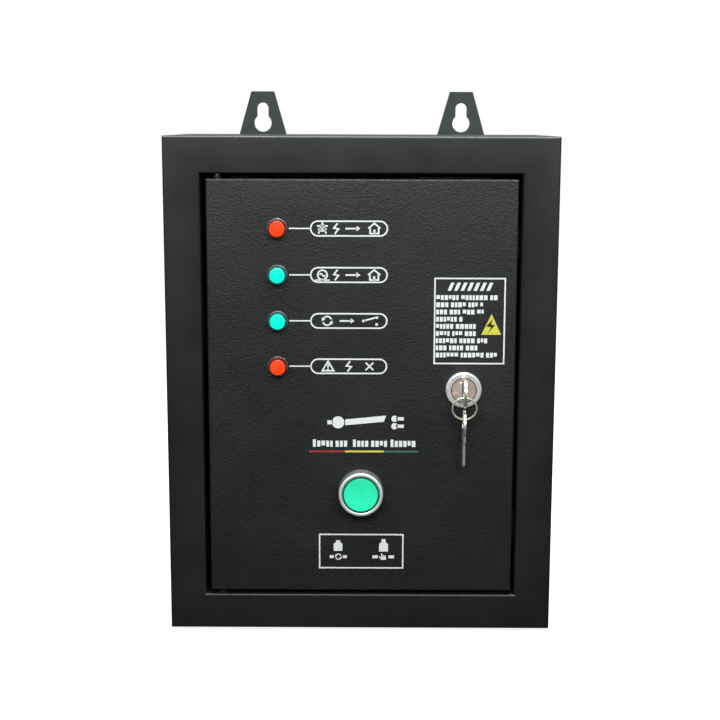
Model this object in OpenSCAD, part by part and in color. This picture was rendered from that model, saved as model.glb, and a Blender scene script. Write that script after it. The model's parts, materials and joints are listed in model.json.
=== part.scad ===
// Wall-mounted transfer switch cabinet: a steel box with a framed, hinged and locked door.
// The door carries four pilot lamps, an illuminated push button and a cam lock with its keys.
// A mounting plate inside holds two interlocked contactors, a control board and a terminal strip.
// Frame: +Z up, the door faces -Y, +X is to the right of someone facing the door.
// Origin: between the round ends of the two keyholes, on the wall plane behind the tabs.

/* [Cabinet] */
// Width of the cabinet
cab_w = 250; // [250:1:320]
// Height of the cabinet
cab_h = 322; // [320:1:420]
// Depth from the back wall's outside to the front frame
cab_d = 140; // [136:1:200]
// Thickness of the cabinet and door sheet
sheet_t = 1.2; // [0.8:0.1:1.5]
// Outside radius of the folded edges
bend_r = 1.5; // [1.5:0.1:2.5]
// Width of the frame border round the door
border = 23.5; // [20:0.5:28]
// Depth of the lip that folds back round the door opening
lip_d = 15; // [14.5:0.1:18]

/* [Hanging tabs] */
// Distance between the two keyholes
key_spacing = 143; // [110:1:180]
// Radius of a keyhole's round end
keyhole_r = 6.2; // [5.8:0.1:7]
// Half width of a keyhole's slot
slot_r = 4; // [3:0.1:4.2]
// Height of the slot's end above the round end's centre
slot_up = 10.5; // [8:0.5:12]
// Height of the round end's centre above the cabinet's top
key_up = 7.9; // [7.5:0.1:14]
// Height of a tab above the cabinet's top
tab_h = 30.4; // [29:0.1:40]
// Width of a tab at its foot
tab_foot_w = 34; // [30:0.5:44]
// Width of a tab at its top
tab_top_w = 16.5; // [14:0.5:24]
// Thickness of a tab
tab_t = 1.5; // [1:0.1:3]

/* [Door] */
// Gap on the hinge side
gap_hinge = 3.3; // [3:0.1:3.6]
// Gap on the lock side
gap_lock = 2.3; // [2:0.1:3.5]
// Gap above the door
gap_top = 3; // [2:0.1:4]
// Gap below the door
gap_bottom = 2.4; // [2:0.1:4]
// Depth of the door's folded edge
flange_d = 12; // [11.5:0.1:12.2]
// Radius of the hinge pins
pin_r = 1.6; // [1.5:0.1:2.8]
// Distance from the door's left edge to the hinge axis
hinge_in = 7.2; // [7:0.1:7.4]
// Distance from the door's face to the hinge axis
hinge_back = 6; // [5.8:0.1:6.2]

/* [Pilot lamps] */
// Distance of the lamp column to the left of the centre
lamp_left = 53; // [48:1:60]
// Height of the lowest lamp above the cabinet's bottom
lamp_low = 176.2; // [165:0.1:185]
// Spacing of the lamps
lamp_pitch = 29.4; // [24:0.1:32]
// Radius of a lens at its base
lens_r = 5.9; // [5.5:0.1:7]
// Height of a lens above the door
lens_h = 6; // [4:0.1:8]
// Radius of a lamp's threaded barrel
lamp_barrel_r = 5; // [4:0.1:5.4]

/* [Push button] */
// Height of the button's axis above the cabinet's bottom
button_up = 93.5; // [90:0.5:100]
// Outside radius of the metal bezel
bezel_r = 14.7; // [14:0.1:16]
// Height of the bezel above the door
bezel_h = 9.5; // [8.5:0.1:12]
// Radius of the bezel's bore
bezel_bore_r = 12.1; // [11.8:0.1:12.6]
// Radius of the button's raised face
cap_face_r = 10.8; // [10:0.1:11.2]
// Radius of the button's threaded barrel
barrel_r = 11; // [10.5:0.1:11.4]
// Travel of the button
button_travel = 4.5; // [3:0.1:4.5]

/* [Lock and keys] */
// Distance from the opening's right edge to the lock's axis
lock_in = 35.4; // [32:0.1:36]
// Height of the lock's axis above the cabinet's bottom
lock_up = 161.2; // [150:0.1:170]
// Radius of the lock's face
lock_face_r = 11.45; // [11:0.05:13]
// Radius of the lock's barrel
lock_barrel_r = 9.4; // [9.2:0.1:10]
// Radius of the turning core at its face
core_r = 7.9; // [7:0.1:8]
// Length of the cam from the lock's axis to its tip
cam_l = 44; // [42:0.5:48]
// Thickness of a key
key_t = 1.6; // [1.4:0.1:2.4]
// Radius of a key's bow
bow_r = 9.4; // [8:0.1:9.4]
// Radius of the hole in a key's bow
bow_hole_r = 3.5; // [3:0.1:3.8]
// Length of a key's blade
blade_l = 17.5; // [15:0.5:18]
// Height of a key's blade
blade_h = 7.4; // [6:0.1:7.6]
// Radius of the key ring's centre line
ring_r = 7.75; // [7:0.05:8.5]
// Radius of the key ring's wire
ring_wire_r = 0.6; // [0.4:0.05:0.7]
// Lean of the key ring towards the door
ring_lean = 17; // [12:0.5:17]

/* [Mounting plate and devices] */
// Distance from the back wall to the mounting plate
plate_gap = 9; // [8:0.5:14]
// Thickness of the mounting plate
plate_t = 1.5; // [1:0.1:3]
// Height of the rail's centre line above the cabinet's bottom
rail_up = 176; // [172:1:178]
// Length of the rail
rail_l = 180; // [140:1:185]
// Width of a contactor
contactor_w = 45; // [43:1:46]
// Height of a contactor
contactor_h = 77; // [74:1:80]
// Depth of a contactor in front of the mounting plate
contactor_d = 85; // [80:1:86]
// Width of the interlock between the contactors
interlock_w = 10; // [8:1:12]
// Travel of a contactor's armature
armature_travel = 4.5; // [3:0.1:5]
// Width of the control board
board_w = 120; // [118:1:124]
// Height of the control board
board_h = 60; // [58:1:62]
// Height of the board's lower edge above the cabinet's bottom
board_up = 236; // [234:1:237]
// Height of the board's standoffs
standoff_h = 8; // [6:0.5:9]
// Number of poles on the terminal strip
poles = 12; // [11:1:12]
// Pitch of the terminal strip
pole_pitch = 12; // [12:0.5:12.5]
// Height of the strip's centre line above the cabinet's bottom
strip_up = 50; // [48:1:52]
// Radius of the cable entries through their grommets
entry_r = 8; // [6:0.5:10]
// Spacing of the cable entries
entry_pitch = 55; // [45:1:70]

/* [Hidden] */
$fn = 64;

// Main planes: depth() measures back from the door's face, up() from the cabinet's bottom.
back_y = -tab_t;
front_y = back_y - cab_d;
top_z = -key_up;
bottom_z = top_z - cab_h;
function depth(f) = front_y + f;
function up(h) = bottom_z + h;

// Door opening and door
opening_x = cab_w / 2 - border;
opening_low = border;
opening_high = cab_h - border;
door_left = -opening_x + gap_hinge;
door_right = opening_x - gap_lock;
door_low = opening_low + gap_bottom;
door_high = opening_high - gap_top;
hinge_x = door_left + hinge_in;

// Fits
run_gap = 0.05;
seat_gap = 0.1;
free_gap = 0.2;

// Hinge hardware
bush_r = pin_r + 1.7;
bush_l = 6;
pin_head_r = pin_r + 1.5;
pin_head_t = 1.5;
washer_r = pin_r + 1;
washer_t = 1.8;

// Door stops
stop_t = 1.2;
stop_h = 20;
stop_reach = 7;
stop_heights = [opening_low + 45, opening_high - 45];

// Mounting plate
plate_back_y = back_y - sheet_t - plate_gap;
plate_y = plate_back_y - plate_t;
plate_w = 2 * opening_x - 7;
plate_side = plate_w / 2;
plate_low = opening_low + 6.5;
plate_high = opening_high - 6.5;
plate_corner_r = 6;
stud_r = 2.5;
stud_in = 9;
stud_hex_r = 5.5;
nut_t = 4;
nut_r = 4.6;
function ahead(d) = plate_y - d;

// Rail
rail_h = 35;
rail_foot_h = 25;
rail_d = 7.5;
rail_t = 1;
rail_screw_x = rail_l / 2 - 12;

// Contactors
contactor_x = (interlock_w + contactor_w) / 2;
base_d = 46;
cover_h = 52;
terminal_dx = 10;
terminal_in = 5.5;
entry_w = 7;
entry_d = 8;
entry_at = 40;
armature_w = 9;
armature_h = 12;
armature_l = 24;
armature_out = 1.5;

// Control board
board_x = -20;
board_t = 1.6;
board_in = 4;
board_face = standoff_h + board_t;

// Terminal strip
strip_left = -80;
strip_h = 30;
strip_base_d = 14;
strip_d = 19;
strip_end = 6;
barrier_t = 1.6;
strip_row = 8;
strip_screw_r = 3.2;
clamp_t = 0.8;
strip_l = poles * pole_pitch + 2 * strip_end;
function pole_x(i) = strip_left + strip_end + pole_pitch * (i + 0.5);

// Earth stud
earth_x = 84;
earth_up = 52;

// Cable entries
entry_y = back_y - 70;
grommet_lip = 3;

// Pilot lamps
lamp_x = -lamp_left;
lamp_heights = [for (i = [0:3]) lamp_low + i * lamp_pitch];
red_lamps = [lamp_heights[0], lamp_heights[3]];
green_lamps = [lamp_heights[1], lamp_heights[2]];
lamp_barrel_l = 20;
lamp_nut_r = lamp_barrel_r + 3;

// Push button
button_x = 0.3;
spring_r = 7.4;
spring_wire_r = 0.5;
spring_turns = 5;
stem_r = 9.2;
stem_end = 9;
housing_front = 14;
housing_back = 24;
spring_seat = 21;
contact_back = 46;

// Lock and keys
lock_x = opening_x - lock_in;
lock_front = 3;
core_front = 2.8;
core_shank_r = 6;
shoulder = 3.3;
core_wall = 2;
cam_front = max(blade_l - shoulder + core_wall, lip_d + 1.2);
lock_back = cam_front - 0.6;
cam_t = 2;
cam_w = 14;
bow_l = 2 * bow_r + 0.7;
hole_in = bow_hole_r + 5.1;
ring_gap = 0.15;
ring_front = shoulder + bow_l - hole_in;
ring_top = -(bow_hole_r - ring_wire_r - ring_gap);
ring_low_y = -ring_front + 2 * ring_r * sin(ring_lean);
ring_low_z = ring_top - 2 * ring_r * cos(ring_lean);

// ---------- Shared shapes ----------

// A bar's outline from a0 to a1, with its two front corners rounded; depth runs along Y.
module folded_outline(a0, a1, d, r) {
    translate([a0, r]) square([a1 - a0, d - r]);
    translate([a0 + r, 0]) square([a1 - a0 - 2 * r, r]);
    for (a = [a0 + r, a1 - r]) translate([a, r]) circle(r);
}

// The solid that has the first child's outline from above and the second's from the side.
module crossed(x0, x1, z0, z1, y0) {
    translate([0, y0, 0]) intersection() {
        translate([0, 0, z0]) linear_extrude(z1 - z0) children(0);
        translate([x1, 0, 0]) rotate([0, -90, 0]) linear_extrude(x1 - x0) children(1);
    }
}

module folded_block(x0, x1, z0, z1, y0, d, r) {
    crossed(x0, x1, z0, z1, y0) {
        folded_outline(x0, x1, d, r);
        folded_outline(z0, z1, d, r);
    }
}

// A box between two corners.
module box(x0, x1, y0, y1, z0, z1) {
    translate([x0, y0, z0]) cube([x1 - x0, y1 - y0, z1 - z0]);
}

// A plate in the XZ plane: its outline is drawn in 2-D and it runs from y0 to y1.
module plate_xz(y0, y1) {
    translate([0, y1, 0]) rotate([90, 0, 0]) linear_extrude(y1 - y0) children();
}

// Children drawn along +Z are turned to run back from the door's face at (x, z).
module behind_door(x, z) {
    translate([x, front_y, z]) rotate([-90, 0, 0]) children();
}

// Children drawn along +Z are turned to run forward from the mounting plate at (x, z).
module on_plate(x, z) {
    translate([x, plate_y, z]) rotate([90, 0, 0]) children();
}

// A turned solid from outline points [radius, height].
module turned(points) {
    rotate_extrude($fn = 96) polygon(points);
}

module ring(r_out, r_in, h0, h1) {
    turned([[r_in, h0], [r_out, h0], [r_out, h1], [r_in, h1]]);
}

module hex(r, h0, h1) {
    translate([0, 0, h0]) cylinder(h = h1 - h0, r = r, $fn = 6);
}

// A pan-head screw with a cross recess; its head's seat is at height 0.
module screw_head(r, h) {
    difference() {
        turned([[0, 0], [r, 0], [r, 0.5 * h], [0.75 * r, h], [0, h]]);
        for (a = [0, 90]) rotate([0, 0, a])
            translate([-0.6 * r, -0.12 * r, 0.5 * h]) cube([1.2 * r, 0.24 * r, h]);
    }
}

// Points on an arc about (cx, cy), as [x, y] pairs.
function arc(cx, cy, r, a0, a1, n = 8) =
    [for (i = [0:n]) let (a = a0 + (a1 - a0) * i / n) [cx + r * cos(a), cy + r * sin(a)]];

// ---------- Tubes for wires ----------

function unit(v) = v / norm(v);
function spline_at(p, i, t) =
    let (n = len(p) - 1, a = p[max(i - 1, 0)], b = p[i], c = p[min(i + 1, n)],
         d = p[min(i + 2, n)])
    0.5 * (2 * b + (c - a) * t + (2 * a - 5 * b + 4 * c - d) * t * t
        + (3 * b - a - 3 * c + d) * t * t * t);
function smooth(p, n) = concat(
    [for (i = [0:len(p) - 2]) for (k = [0:n - 1]) spline_at(p, i, k / n)], [p[len(p) - 1]]);
function headings(p) =
    [for (i = [0:len(p) - 1]) unit(p[min(i + 1, len(p) - 1)] - p[max(i - 1, 0)])];
function sides(t, last, i = 0) = i == len(t) ? [] :
    let (n = unit(last - (last * t[i]) * t[i])) concat([n], sides(t, n, i + 1));

module tube(route, r, n = 2, m = 8) {
    p = smooth(route, n);
    t = headings(p);
    s = sides(t, abs(t[0].z) < 0.9 ? [0, 0, 1] : [1, 0, 0]);
    points = [for (i = [0:len(p) - 1]) for (k = [0:m - 1])
        p[i] + r * (cos(360 * k / m) * s[i] + sin(360 * k / m) * cross(t[i], s[i]))];
    skin = [for (i = [0:len(p) - 2]) for (k = [0:m - 1]) let (j = (k + 1) % m)
        [i * m + k, (i + 1) * m + k, (i + 1) * m + j, i * m + j]];
    polyhedron(points, concat(skin, [[for (k = [0:m - 1]) k]],
        [[for (k = [m - 1:-1:0]) (len(p) - 1) * m + k]]));
}

// Route points given as [x, height above the bottom, distance ahead of the mounting plate].
function plate_route(p) = [for (q = p) [q[0], ahead(q[2]), up(q[1])]];
// Route points given as [x from the hinge axis, height above the bottom, depth behind the face].
function hinge_route(p) = [for (q = p) [hinge_x + q[0], depth(q[2]), up(q[1])]];

// ---------- Cabinet ----------

// The frame's section: across from its outer edge at 0 to the door opening, by depth.
module frame_outline() {
    difference() {
        folded_outline(0, border, lip_d, bend_r);
        translate([0, sheet_t])
            folded_outline(sheet_t, border - sheet_t, lip_d, bend_r - sheet_t + 0.1);
    }
}

// One side of the frame, mitred at both ends; it lies along +X with its outer edge at height 0.
module frame_bar(l) {
    intersection() {
        translate([l, 0, 0]) rotate([0, -90, 0]) linear_extrude(l) frame_outline();
        plate_xz(-1, lip_d + 1)
            polygon([[0, 0], [l, 0], [l - border, border], [border, border]]);
    }
}

module cabinet_shell() {
    half = cab_w / 2;
    color([0.15, 0.16, 0.16]) difference() {
        union() {
            for (side = [[0, cab_w, cab_h], [90, cab_h, cab_w], [180, cab_w, cab_h],
                         [270, cab_h, cab_w]])
                translate([0, front_y, up(cab_h / 2)]) rotate([0, side[0], 0])
                    translate([-side[1] / 2, 0, -side[2] / 2]) frame_bar(side[1]);
            difference() {
                box(-half, half, depth(lip_d), back_y, bottom_z, top_z);
                box(-half + sheet_t, half - sheet_t, depth(lip_d - 1), back_y - sheet_t,
                    bottom_z + sheet_t, top_z - sheet_t);
            }
        }
        for (h = [opening_low - sheet_t / 2, opening_high + sheet_t / 2])
            translate([hinge_x, depth(hinge_back), up(h)])
                cylinder(h = 2 * sheet_t, r = pin_r + seat_gap, center = true);
        for (i = [-1:1]) translate([i * entry_pitch, entry_y, bottom_z - 1])
            cylinder(h = sheet_t + 2, r = entry_r + grommet_lip);
    }
}

module hanging_tabs() {
    foot = tab_foot_w / 2;
    head = tab_top_w / 2;
    color([0.22, 0.25, 0.25]) plate_xz(-tab_t, 0)
        for (s = [-1, 1]) translate([s * key_spacing / 2, 0]) difference() {
            polygon([[-foot, -key_up - 20], [foot, -key_up - 20], [foot, -key_up],
                [head, tab_h - key_up], [-head, tab_h - key_up], [-foot, -key_up]]);
            circle(keyhole_r);
            translate([-slot_r, 0]) square([2 * slot_r, slot_up]);
            translate([0, slot_up]) circle(slot_r);
        }
}

// A hinge pin with its head in the frame's hollow; its axis runs up from the lip's inner side.
module hinge_pin(gap) {
    reach = gap + bush_l + sheet_t;
    turned([[0, -reach], [pin_r - 0.8, -reach], [pin_r, -reach + 0.8], [pin_r, sheet_t],
        [pin_head_r, sheet_t], [pin_head_r, sheet_t + pin_head_t], [0, sheet_t + pin_head_t]]);
}

module hinge_pins() {
    color([0.75, 0.75, 0.72]) {
        translate([hinge_x, depth(hinge_back), up(opening_high)]) hinge_pin(gap_top);
        translate([hinge_x, depth(hinge_back), up(opening_low)]) mirror([0, 0, 1])
            hinge_pin(gap_bottom);
    }
}

module hinge_washers() {
    color([0.08, 0.08, 0.08]) translate([hinge_x, depth(hinge_back), 0]) {
        ring(washer_r, pin_r + run_gap, up(door_high) + free_gap, up(door_high) + washer_t);
        ring(washer_r, pin_r + run_gap, up(opening_low), up(door_low) - free_gap);
    }
}

module door_stop_tabs() {
    lip_out = opening_x + sheet_t;
    color([0.15, 0.16, 0.16]) for (h = stop_heights) {
        box(opening_x - stop_reach, lip_out + stop_t, depth(lip_d), depth(lip_d + stop_t),
            up(h) - stop_h / 2, up(h) + stop_h / 2);
        box(lip_out, lip_out + stop_t, depth(lip_d - 8), depth(lip_d),
            up(h) - stop_h / 2, up(h) + stop_h / 2);
    }
}

module stop_bumpers() {
    color([0.08, 0.08, 0.08]) for (h = stop_heights)
        box(opening_x - stop_reach + 0.5, opening_x - 0.5, depth(flange_d + seat_gap),
            depth(lip_d), up(h) - stop_h / 2 + 2, up(h) + stop_h / 2 - 2);
}

module cable_grommets() {
    lip = entry_r + grommet_lip;
    color([0.06, 0.06, 0.06]) for (i = [-1:1])
        translate([i * entry_pitch, entry_y, bottom_z])
            turned([[entry_r, -2], [lip + 1.5, -2], [lip + 2, -1.5], [lip + 2, 0], [lip, 0],
                [lip, sheet_t], [lip + 2, sheet_t], [lip + 2, sheet_t + 1.5],
                [lip + 1.5, sheet_t + 2], [entry_r, sheet_t + 2]]);
}

// ---------- Mounting plate ----------

// Repeats a child at the plate's four fixings.
module at_plate_corners() {
    for (x = [-plate_side + stud_in, plate_side - stud_in])
        for (h = [plate_low + stud_in, plate_high - stud_in])
            translate([x, 0, up(h)]) children();
}

module plate_studs() {
    color([0.8, 0.78, 0.7]) at_plate_corners()
        translate([0, plate_y, 0]) rotate([90, 0, 0]) {
            translate([0, 0, -plate_t - plate_gap])
                cylinder(h = plate_gap, r = stud_hex_r, $fn = 6);
            translate([0, 0, -plate_t]) cylinder(h = plate_t + nut_t + 2, r = stud_r);
        }
}

module mounting_plate() {
    r = plate_corner_r;
    color([0.72, 0.73, 0.7]) difference() {
        plate_xz(plate_back_y - plate_t, plate_back_y) {
            translate([-plate_side, up(plate_low) + r])
                square([2 * plate_side, plate_high - plate_low - 2 * r]);
            translate([-plate_side + r, up(plate_low)])
                square([2 * plate_side - 2 * r, plate_high - plate_low]);
            for (x = [-plate_side + r, plate_side - r]) for (h = [plate_low + r, plate_high - r])
                translate([x, up(h)]) circle(r);
        }
        at_plate_corners() translate([0, plate_y - 1, 0]) rotate([-90, 0, 0])
            cylinder(h = plate_t + 2, r = stud_r + free_gap);
    }
}

module plate_nuts() {
    color([0.82, 0.8, 0.72]) at_plate_corners()
        translate([0, plate_y, 0]) rotate([90, 0, 0]) difference() {
            union() {
                ring(nut_r + 1, stud_r, 0, 1);
                hex(nut_r, 1, nut_t + 1);
            }
            translate([0, 0, -1]) cylinder(h = nut_t + 4, r = stud_r + seat_gap);
        }
}

module din_rail() {
    half = rail_h / 2;
    foot = rail_foot_h / 2;
    color([0.78, 0.79, 0.8]) difference() {
        translate([-rail_l / 2, plate_y, up(rail_up)]) rotate([90, 0, 90])
            linear_extrude(rail_l) {
                translate([-rail_t, -foot]) square([rail_t, 2 * foot]);
                for (s = [-1, 1]) {
                    translate([-rail_d, s > 0 ? foot - rail_t : -foot])
                        square([rail_d, rail_t]);
                    translate([-rail_d, s > 0 ? foot - rail_t : -half])
                        square([rail_t, half - foot + rail_t]);
                }
            }
        for (x = [-rail_screw_x, rail_screw_x]) translate([x, plate_y + 1, up(rail_up)])
            rotate([90, 0, 0]) cylinder(h = rail_t + 3, r = 2.2);
    }
}

module rail_screws() {
    color([0.8, 0.8, 0.78]) for (x = [-rail_screw_x, rail_screw_x])
        on_plate(x, up(rail_up)) {
            translate([0, 0, rail_t]) screw_head(4, 2.6);
            cylinder(h = rail_t, r = 2);
        }
}

// ---------- Contactors ----------

// Repeats a child at each of a contactor's four poles, at both its ends: z is +1 or -1.
module at_contactor_poles(xc) {
    for (i = [0:3]) for (s = [-1, 1])
        translate([xc + terminal_dx * (i - 1.5), 0, up(rail_up) + s * contactor_h / 2])
            mirror([0, 0, s > 0 ? 0 : 1]) children();
}

module contactor_base(xc) {
    half = contactor_w / 2;
    z0 = up(rail_up) - contactor_h / 2;
    jaw = rail_h / 2 - 2.2;
    color([0.13, 0.13, 0.14]) difference() {
        box(xc - half, xc + half, ahead(base_d), ahead(1), z0, z0 + contactor_h);
        // groove that snaps over the rail
        box(xc - half - 1, xc + half + 1, ahead(rail_d + free_gap), ahead(rail_d - 1.5),
            up(rail_up) - rail_h / 2 - free_gap, up(rail_up) + rail_h / 2 + free_gap);
        box(xc - half - 1, xc + half + 1, ahead(rail_d - 1), ahead(0), up(rail_up) - jaw,
            up(rail_up) + jaw);
        // wire entries at the ends and screw wells in front
        at_contactor_poles(xc) {
            box(-entry_w / 2, entry_w / 2, ahead(entry_at + entry_d / 2),
                ahead(entry_at - entry_d / 2), -entry_d, 1);
            translate([0, ahead(base_d - 1), -terminal_in]) rotate([90, 0, 0])
                cylinder(h = 3, r = 3.4);
        }
        // coil terminals near the back
        for (dx = [-8, 8]) box(xc + dx - 3, xc + dx + 3, ahead(24), ahead(16),
            z0 + contactor_h - 7, z0 + contactor_h + 1);
        // armature well
        box(xc - armature_w / 2 - free_gap, xc + armature_w / 2 + free_gap, ahead(base_d + 1),
            ahead(contactor_d - armature_l - armature_travel - 3),
            up(rail_up) - armature_h / 2 - free_gap, up(rail_up) + armature_h / 2 + free_gap);
    }
}

// The cover's outline from the side, as [distance ahead, height from the rail's centre line].
function cover_side() = let (h = cover_h / 2, c = 3)
    [[base_d, -h], [contactor_d - 9, -h], [contactor_d - 9 + c, -h + c], [contactor_d - 6, -h + 9],
     [contactor_d - 1, -h + 9], [contactor_d, -h + 10], [contactor_d, h - 10],
     [contactor_d - 1, h - 9], [contactor_d - 6, h - 9], [contactor_d - 9 + c, h - c],
     [contactor_d - 9, h], [base_d, h]];

module contactor_cover(xc) {
    half = contactor_w / 2 - 1;
    color([0.2, 0.2, 0.21]) difference() {
        translate([xc - half, plate_y, up(rail_up)]) rotate([90, 0, 90])
            linear_extrude(2 * half) polygon([for (p = cover_side()) [-p[0], p[1]]]);
        box(xc - armature_w / 2 - free_gap, xc + armature_w / 2 + free_gap,
            ahead(contactor_d + 1), ahead(base_d - 1),
            up(rail_up) - armature_h / 2 - free_gap, up(rail_up) + armature_h / 2 + free_gap);
        // name plate recess under the armature window
        box(xc - half + 5, xc + half - 5, ahead(contactor_d + 1), ahead(contactor_d - 0.4),
            up(rail_up) - 14, up(rail_up) - 9);
    }
}

// The armature's front end shows in the cover's window and moves in when the coil pulls.
module armature(xc) {
    color([0.85, 0.85, 0.82]) difference() {
        box(xc - armature_w / 2, xc + armature_w / 2, ahead(contactor_d + armature_out),
            ahead(contactor_d - armature_l), up(rail_up) - armature_h / 2,
            up(rail_up) + armature_h / 2);
        for (s = [-1, 1]) box(xc - 3, xc + 3, ahead(contactor_d + armature_out + 1),
            ahead(contactor_d + armature_out - 1.2), up(rail_up) + 3 * s - 1,
            up(rail_up) + 3 * s + 1);
    }
}

module mains_contactor_base() { contactor_base(-contactor_x); }
module mains_contactor_cover() { contactor_cover(-contactor_x); }
module mains_armature() { armature(-contactor_x); }
module generator_contactor_base() { contactor_base(contactor_x); }
module generator_contactor_cover() { contactor_cover(contactor_x); }
module generator_armature() { armature(contactor_x); }

module interlock_module() {
    w = interlock_w / 2 - seat_gap;
    jaw = rail_h / 2 - 2.2;
    color([0.3, 0.3, 0.31]) difference() {
        union() {
            box(-w, w, ahead(70), ahead(rail_d + free_gap), up(rail_up) - 28, up(rail_up) + 28);
            for (s = [-1, 1]) box(-w, w, ahead(rail_d + 1), ahead(rail_d - 4),
                up(rail_up) + s * 23 - 5, up(rail_up) + s * 23 + 5);
        }
        box(-w + 1.5, w - 1.5, ahead(71), ahead(69), up(rail_up) - 20, up(rail_up) + 20);
    }
}

module contactor_screws() {
    color([0.82, 0.8, 0.72]) for (xc = [-contactor_x, contactor_x]) at_contactor_poles(xc)
        translate([0, ahead(base_d - 1), -terminal_in]) rotate([90, 0, 0]) screw_head(3, 2);
}

// ---------- Control board ----------

module at_board_corners() {
    for (x = [board_x - board_w / 2 + board_in, board_x + board_w / 2 - board_in])
        for (h = [board_up + board_in, board_up + board_h - board_in])
            on_plate(x, up(h)) children();
}

module control_board() {
    color([0.05, 0.3, 0.16]) difference() {
        box(board_x - board_w / 2, board_x + board_w / 2, ahead(board_face), ahead(standoff_h),
            up(board_up), up(board_up + board_h));
        at_board_corners() cylinder(h = board_face + 1, r = 1.6);
    }
}

// A box on the board; x and h are its corner's distances from the board's lower left corner,
// and it runs from d0 to d1 in front of the board.
module on_board(x, h, w, t, d1, d0 = 0) {
    x0 = board_x - board_w / 2 + x;
    box(x0, x0 + w, ahead(board_face + d1), ahead(board_face + d0), up(board_up + h),
        up(board_up + h + t));
}

module board_relays() {
    color([0.1, 0.25, 0.6]) for (i = [0:2]) on_board(46 + 20 * i, 14, 16, 20, 16);
}

module board_transformer() {
    color([0.85, 0.7, 0.1]) {
        on_board(10, 17, 34, 28, 2);
        on_board(12, 20, 30, 22, 6, 2);
        on_board(14, 17, 26, 28, 28, 6);
    }
}

module board_connectors() {
    color([0.1, 0.5, 0.25]) {
        for (x = [14, 66]) difference() {
            on_board(x, 1, 40, 10, 10);
            for (i = [0:7]) on_board(x + 1 + 5 * i, 3, 3, 5, 11, 6);
        }
        on_board(0.6, 22, 7, 26, 9);
    }
}

module board_capacitors() {
    color([0.12, 0.12, 0.14]) for (x = [50, 64, 78])
        on_plate(board_x - board_w / 2 + x, up(board_up + 46)) difference() {
            translate([0, 0, board_face])
                turned([[0, 0], [5, 0], [5, 13], [4.4, 14], [0, 14]]);
            for (a = [0, 90]) rotate([0, 0, a])
                translate([-3.5, -0.3, board_face + 13.6]) cube([7, 0.6, 2]);
        }
}

module board_standoffs() {
    color([0.85, 0.85, 0.8]) at_board_corners() {
        cylinder(h = standoff_h, r = 3.2, $fn = 6);
        cylinder(h = board_face, r = 1.5);
        translate([0, 0, board_face]) screw_head(2.8, 1.8);
    }
}

// ---------- Terminal strip and earth ----------

module terminal_strip() {
    x1 = strip_left + strip_l;
    z = up(strip_up);
    color([0.08, 0.08, 0.08]) difference() {
        union() {
            box(strip_left, x1, ahead(strip_base_d), plate_y, z - strip_h / 2, z + strip_h / 2);
            for (i = [0:poles]) let (x = strip_left + strip_end + i * pole_pitch)
                box(x - barrier_t / 2, x + barrier_t / 2, ahead(strip_d), ahead(1),
                    z - strip_h / 2, z + strip_h / 2);
            box(strip_left, x1, ahead(strip_d), ahead(1), z - 1, z + 1);
        }
        for (x = [strip_left + strip_end / 2, x1 - strip_end / 2]) on_plate(x, z)
            translate([0, 0, 4]) cylinder(h = strip_d, r = 2.6);
    }
}

module strip_screws() {
    color([0.82, 0.8, 0.72]) for (i = [0:poles - 1]) for (s = [-1, 1])
        on_plate(pole_x(i), up(strip_up) + s * strip_row) translate([0, 0, strip_base_d]) {
            translate([-4, -4.5, 0]) cube([8, 9, clamp_t]);
            translate([0, 0, clamp_t]) screw_head(strip_screw_r, 2.4);
        }
}

module earth_stud() {
    color([0.85, 0.7, 0.35]) on_plate(earth_x, up(earth_up)) {
        cylinder(h = 20, r = 3);
        for (d = [0, 9]) hex(5.6, d, d + 4);
        for (d = [4, 7.5]) translate([0, 0, d]) cylinder(h = 1.5, r = 6.2);
    }
}

// ---------- Wires ----------

power_r = 1.6;
signal_r = 0.8;
strip_top = strip_up + strip_row + strip_screw_r + 0.4;
strip_wire_d = strip_base_d + clamp_t + power_r + 0.2;
strip_signal_d = strip_base_d + clamp_t + signal_r + 0.2;
contactor_low = rail_up - contactor_h / 2;
contactor_high = rail_up + contactor_h / 2;
function contact_x(side, pole) = side * contactor_x + terminal_dx * (pole - 1.5);

// A wire from a terminal strip pole up to a contactor's lower end.
module feed_wire(pole, x, bow) {
    xs = pole_x(pole);
    tube(plate_route([[xs, strip_top, strip_wire_d], [xs, strip_top + 9, strip_wire_d + 1],
        [xs + (x - xs) * 0.25, strip_top + 24, strip_wire_d + bow],
        [x - (x - xs) * 0.2, contactor_low - 22, entry_at - 8 + bow / 2],
        [x, contactor_low - 8, entry_at - 1], [x, contactor_low + 5, entry_at]]), power_r);
}

module mains_wires() {
    color([0.45, 0.25, 0.1]) for (k = [0, 1]) feed_wire(k, contact_x(-1, k), 8);
}

module generator_wires() {
    color([0.1, 0.1, 0.1]) for (k = [0, 1]) feed_wire(3 + k, contact_x(1, k), 8);
}

// Takes the load from the generator contactor's upper end down to the terminal strip.
module load_drop(k) {
    x = contact_x(1, k) + 0.8;
    side = contactor_x + contactor_w / 2 + 9 - 5 * k;
    front = entry_at + 20 - 6 * k;
    xs = pole_x(10 - k);
    top = contactor_high;
    tube(plate_route([[x, top - 5, entry_at + 1.8], [x, top + 6, entry_at + 1.8],
        [x + 3, top + 11 - 2 * k, front - 8], [x + 12, top + 10 - 4 * k, front],
        [side - 8, top + 4 - 4 * k, front - 2],
        [side, top - 14, front - 12], [side, rail_up, 36], [side, contactor_low - 10, 32],
        [(side + xs) / 2, 92, 25], [xs, strip_top + 9, strip_wire_d + 1],
        [xs, strip_top, strip_wire_d]]), power_r);
}

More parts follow.
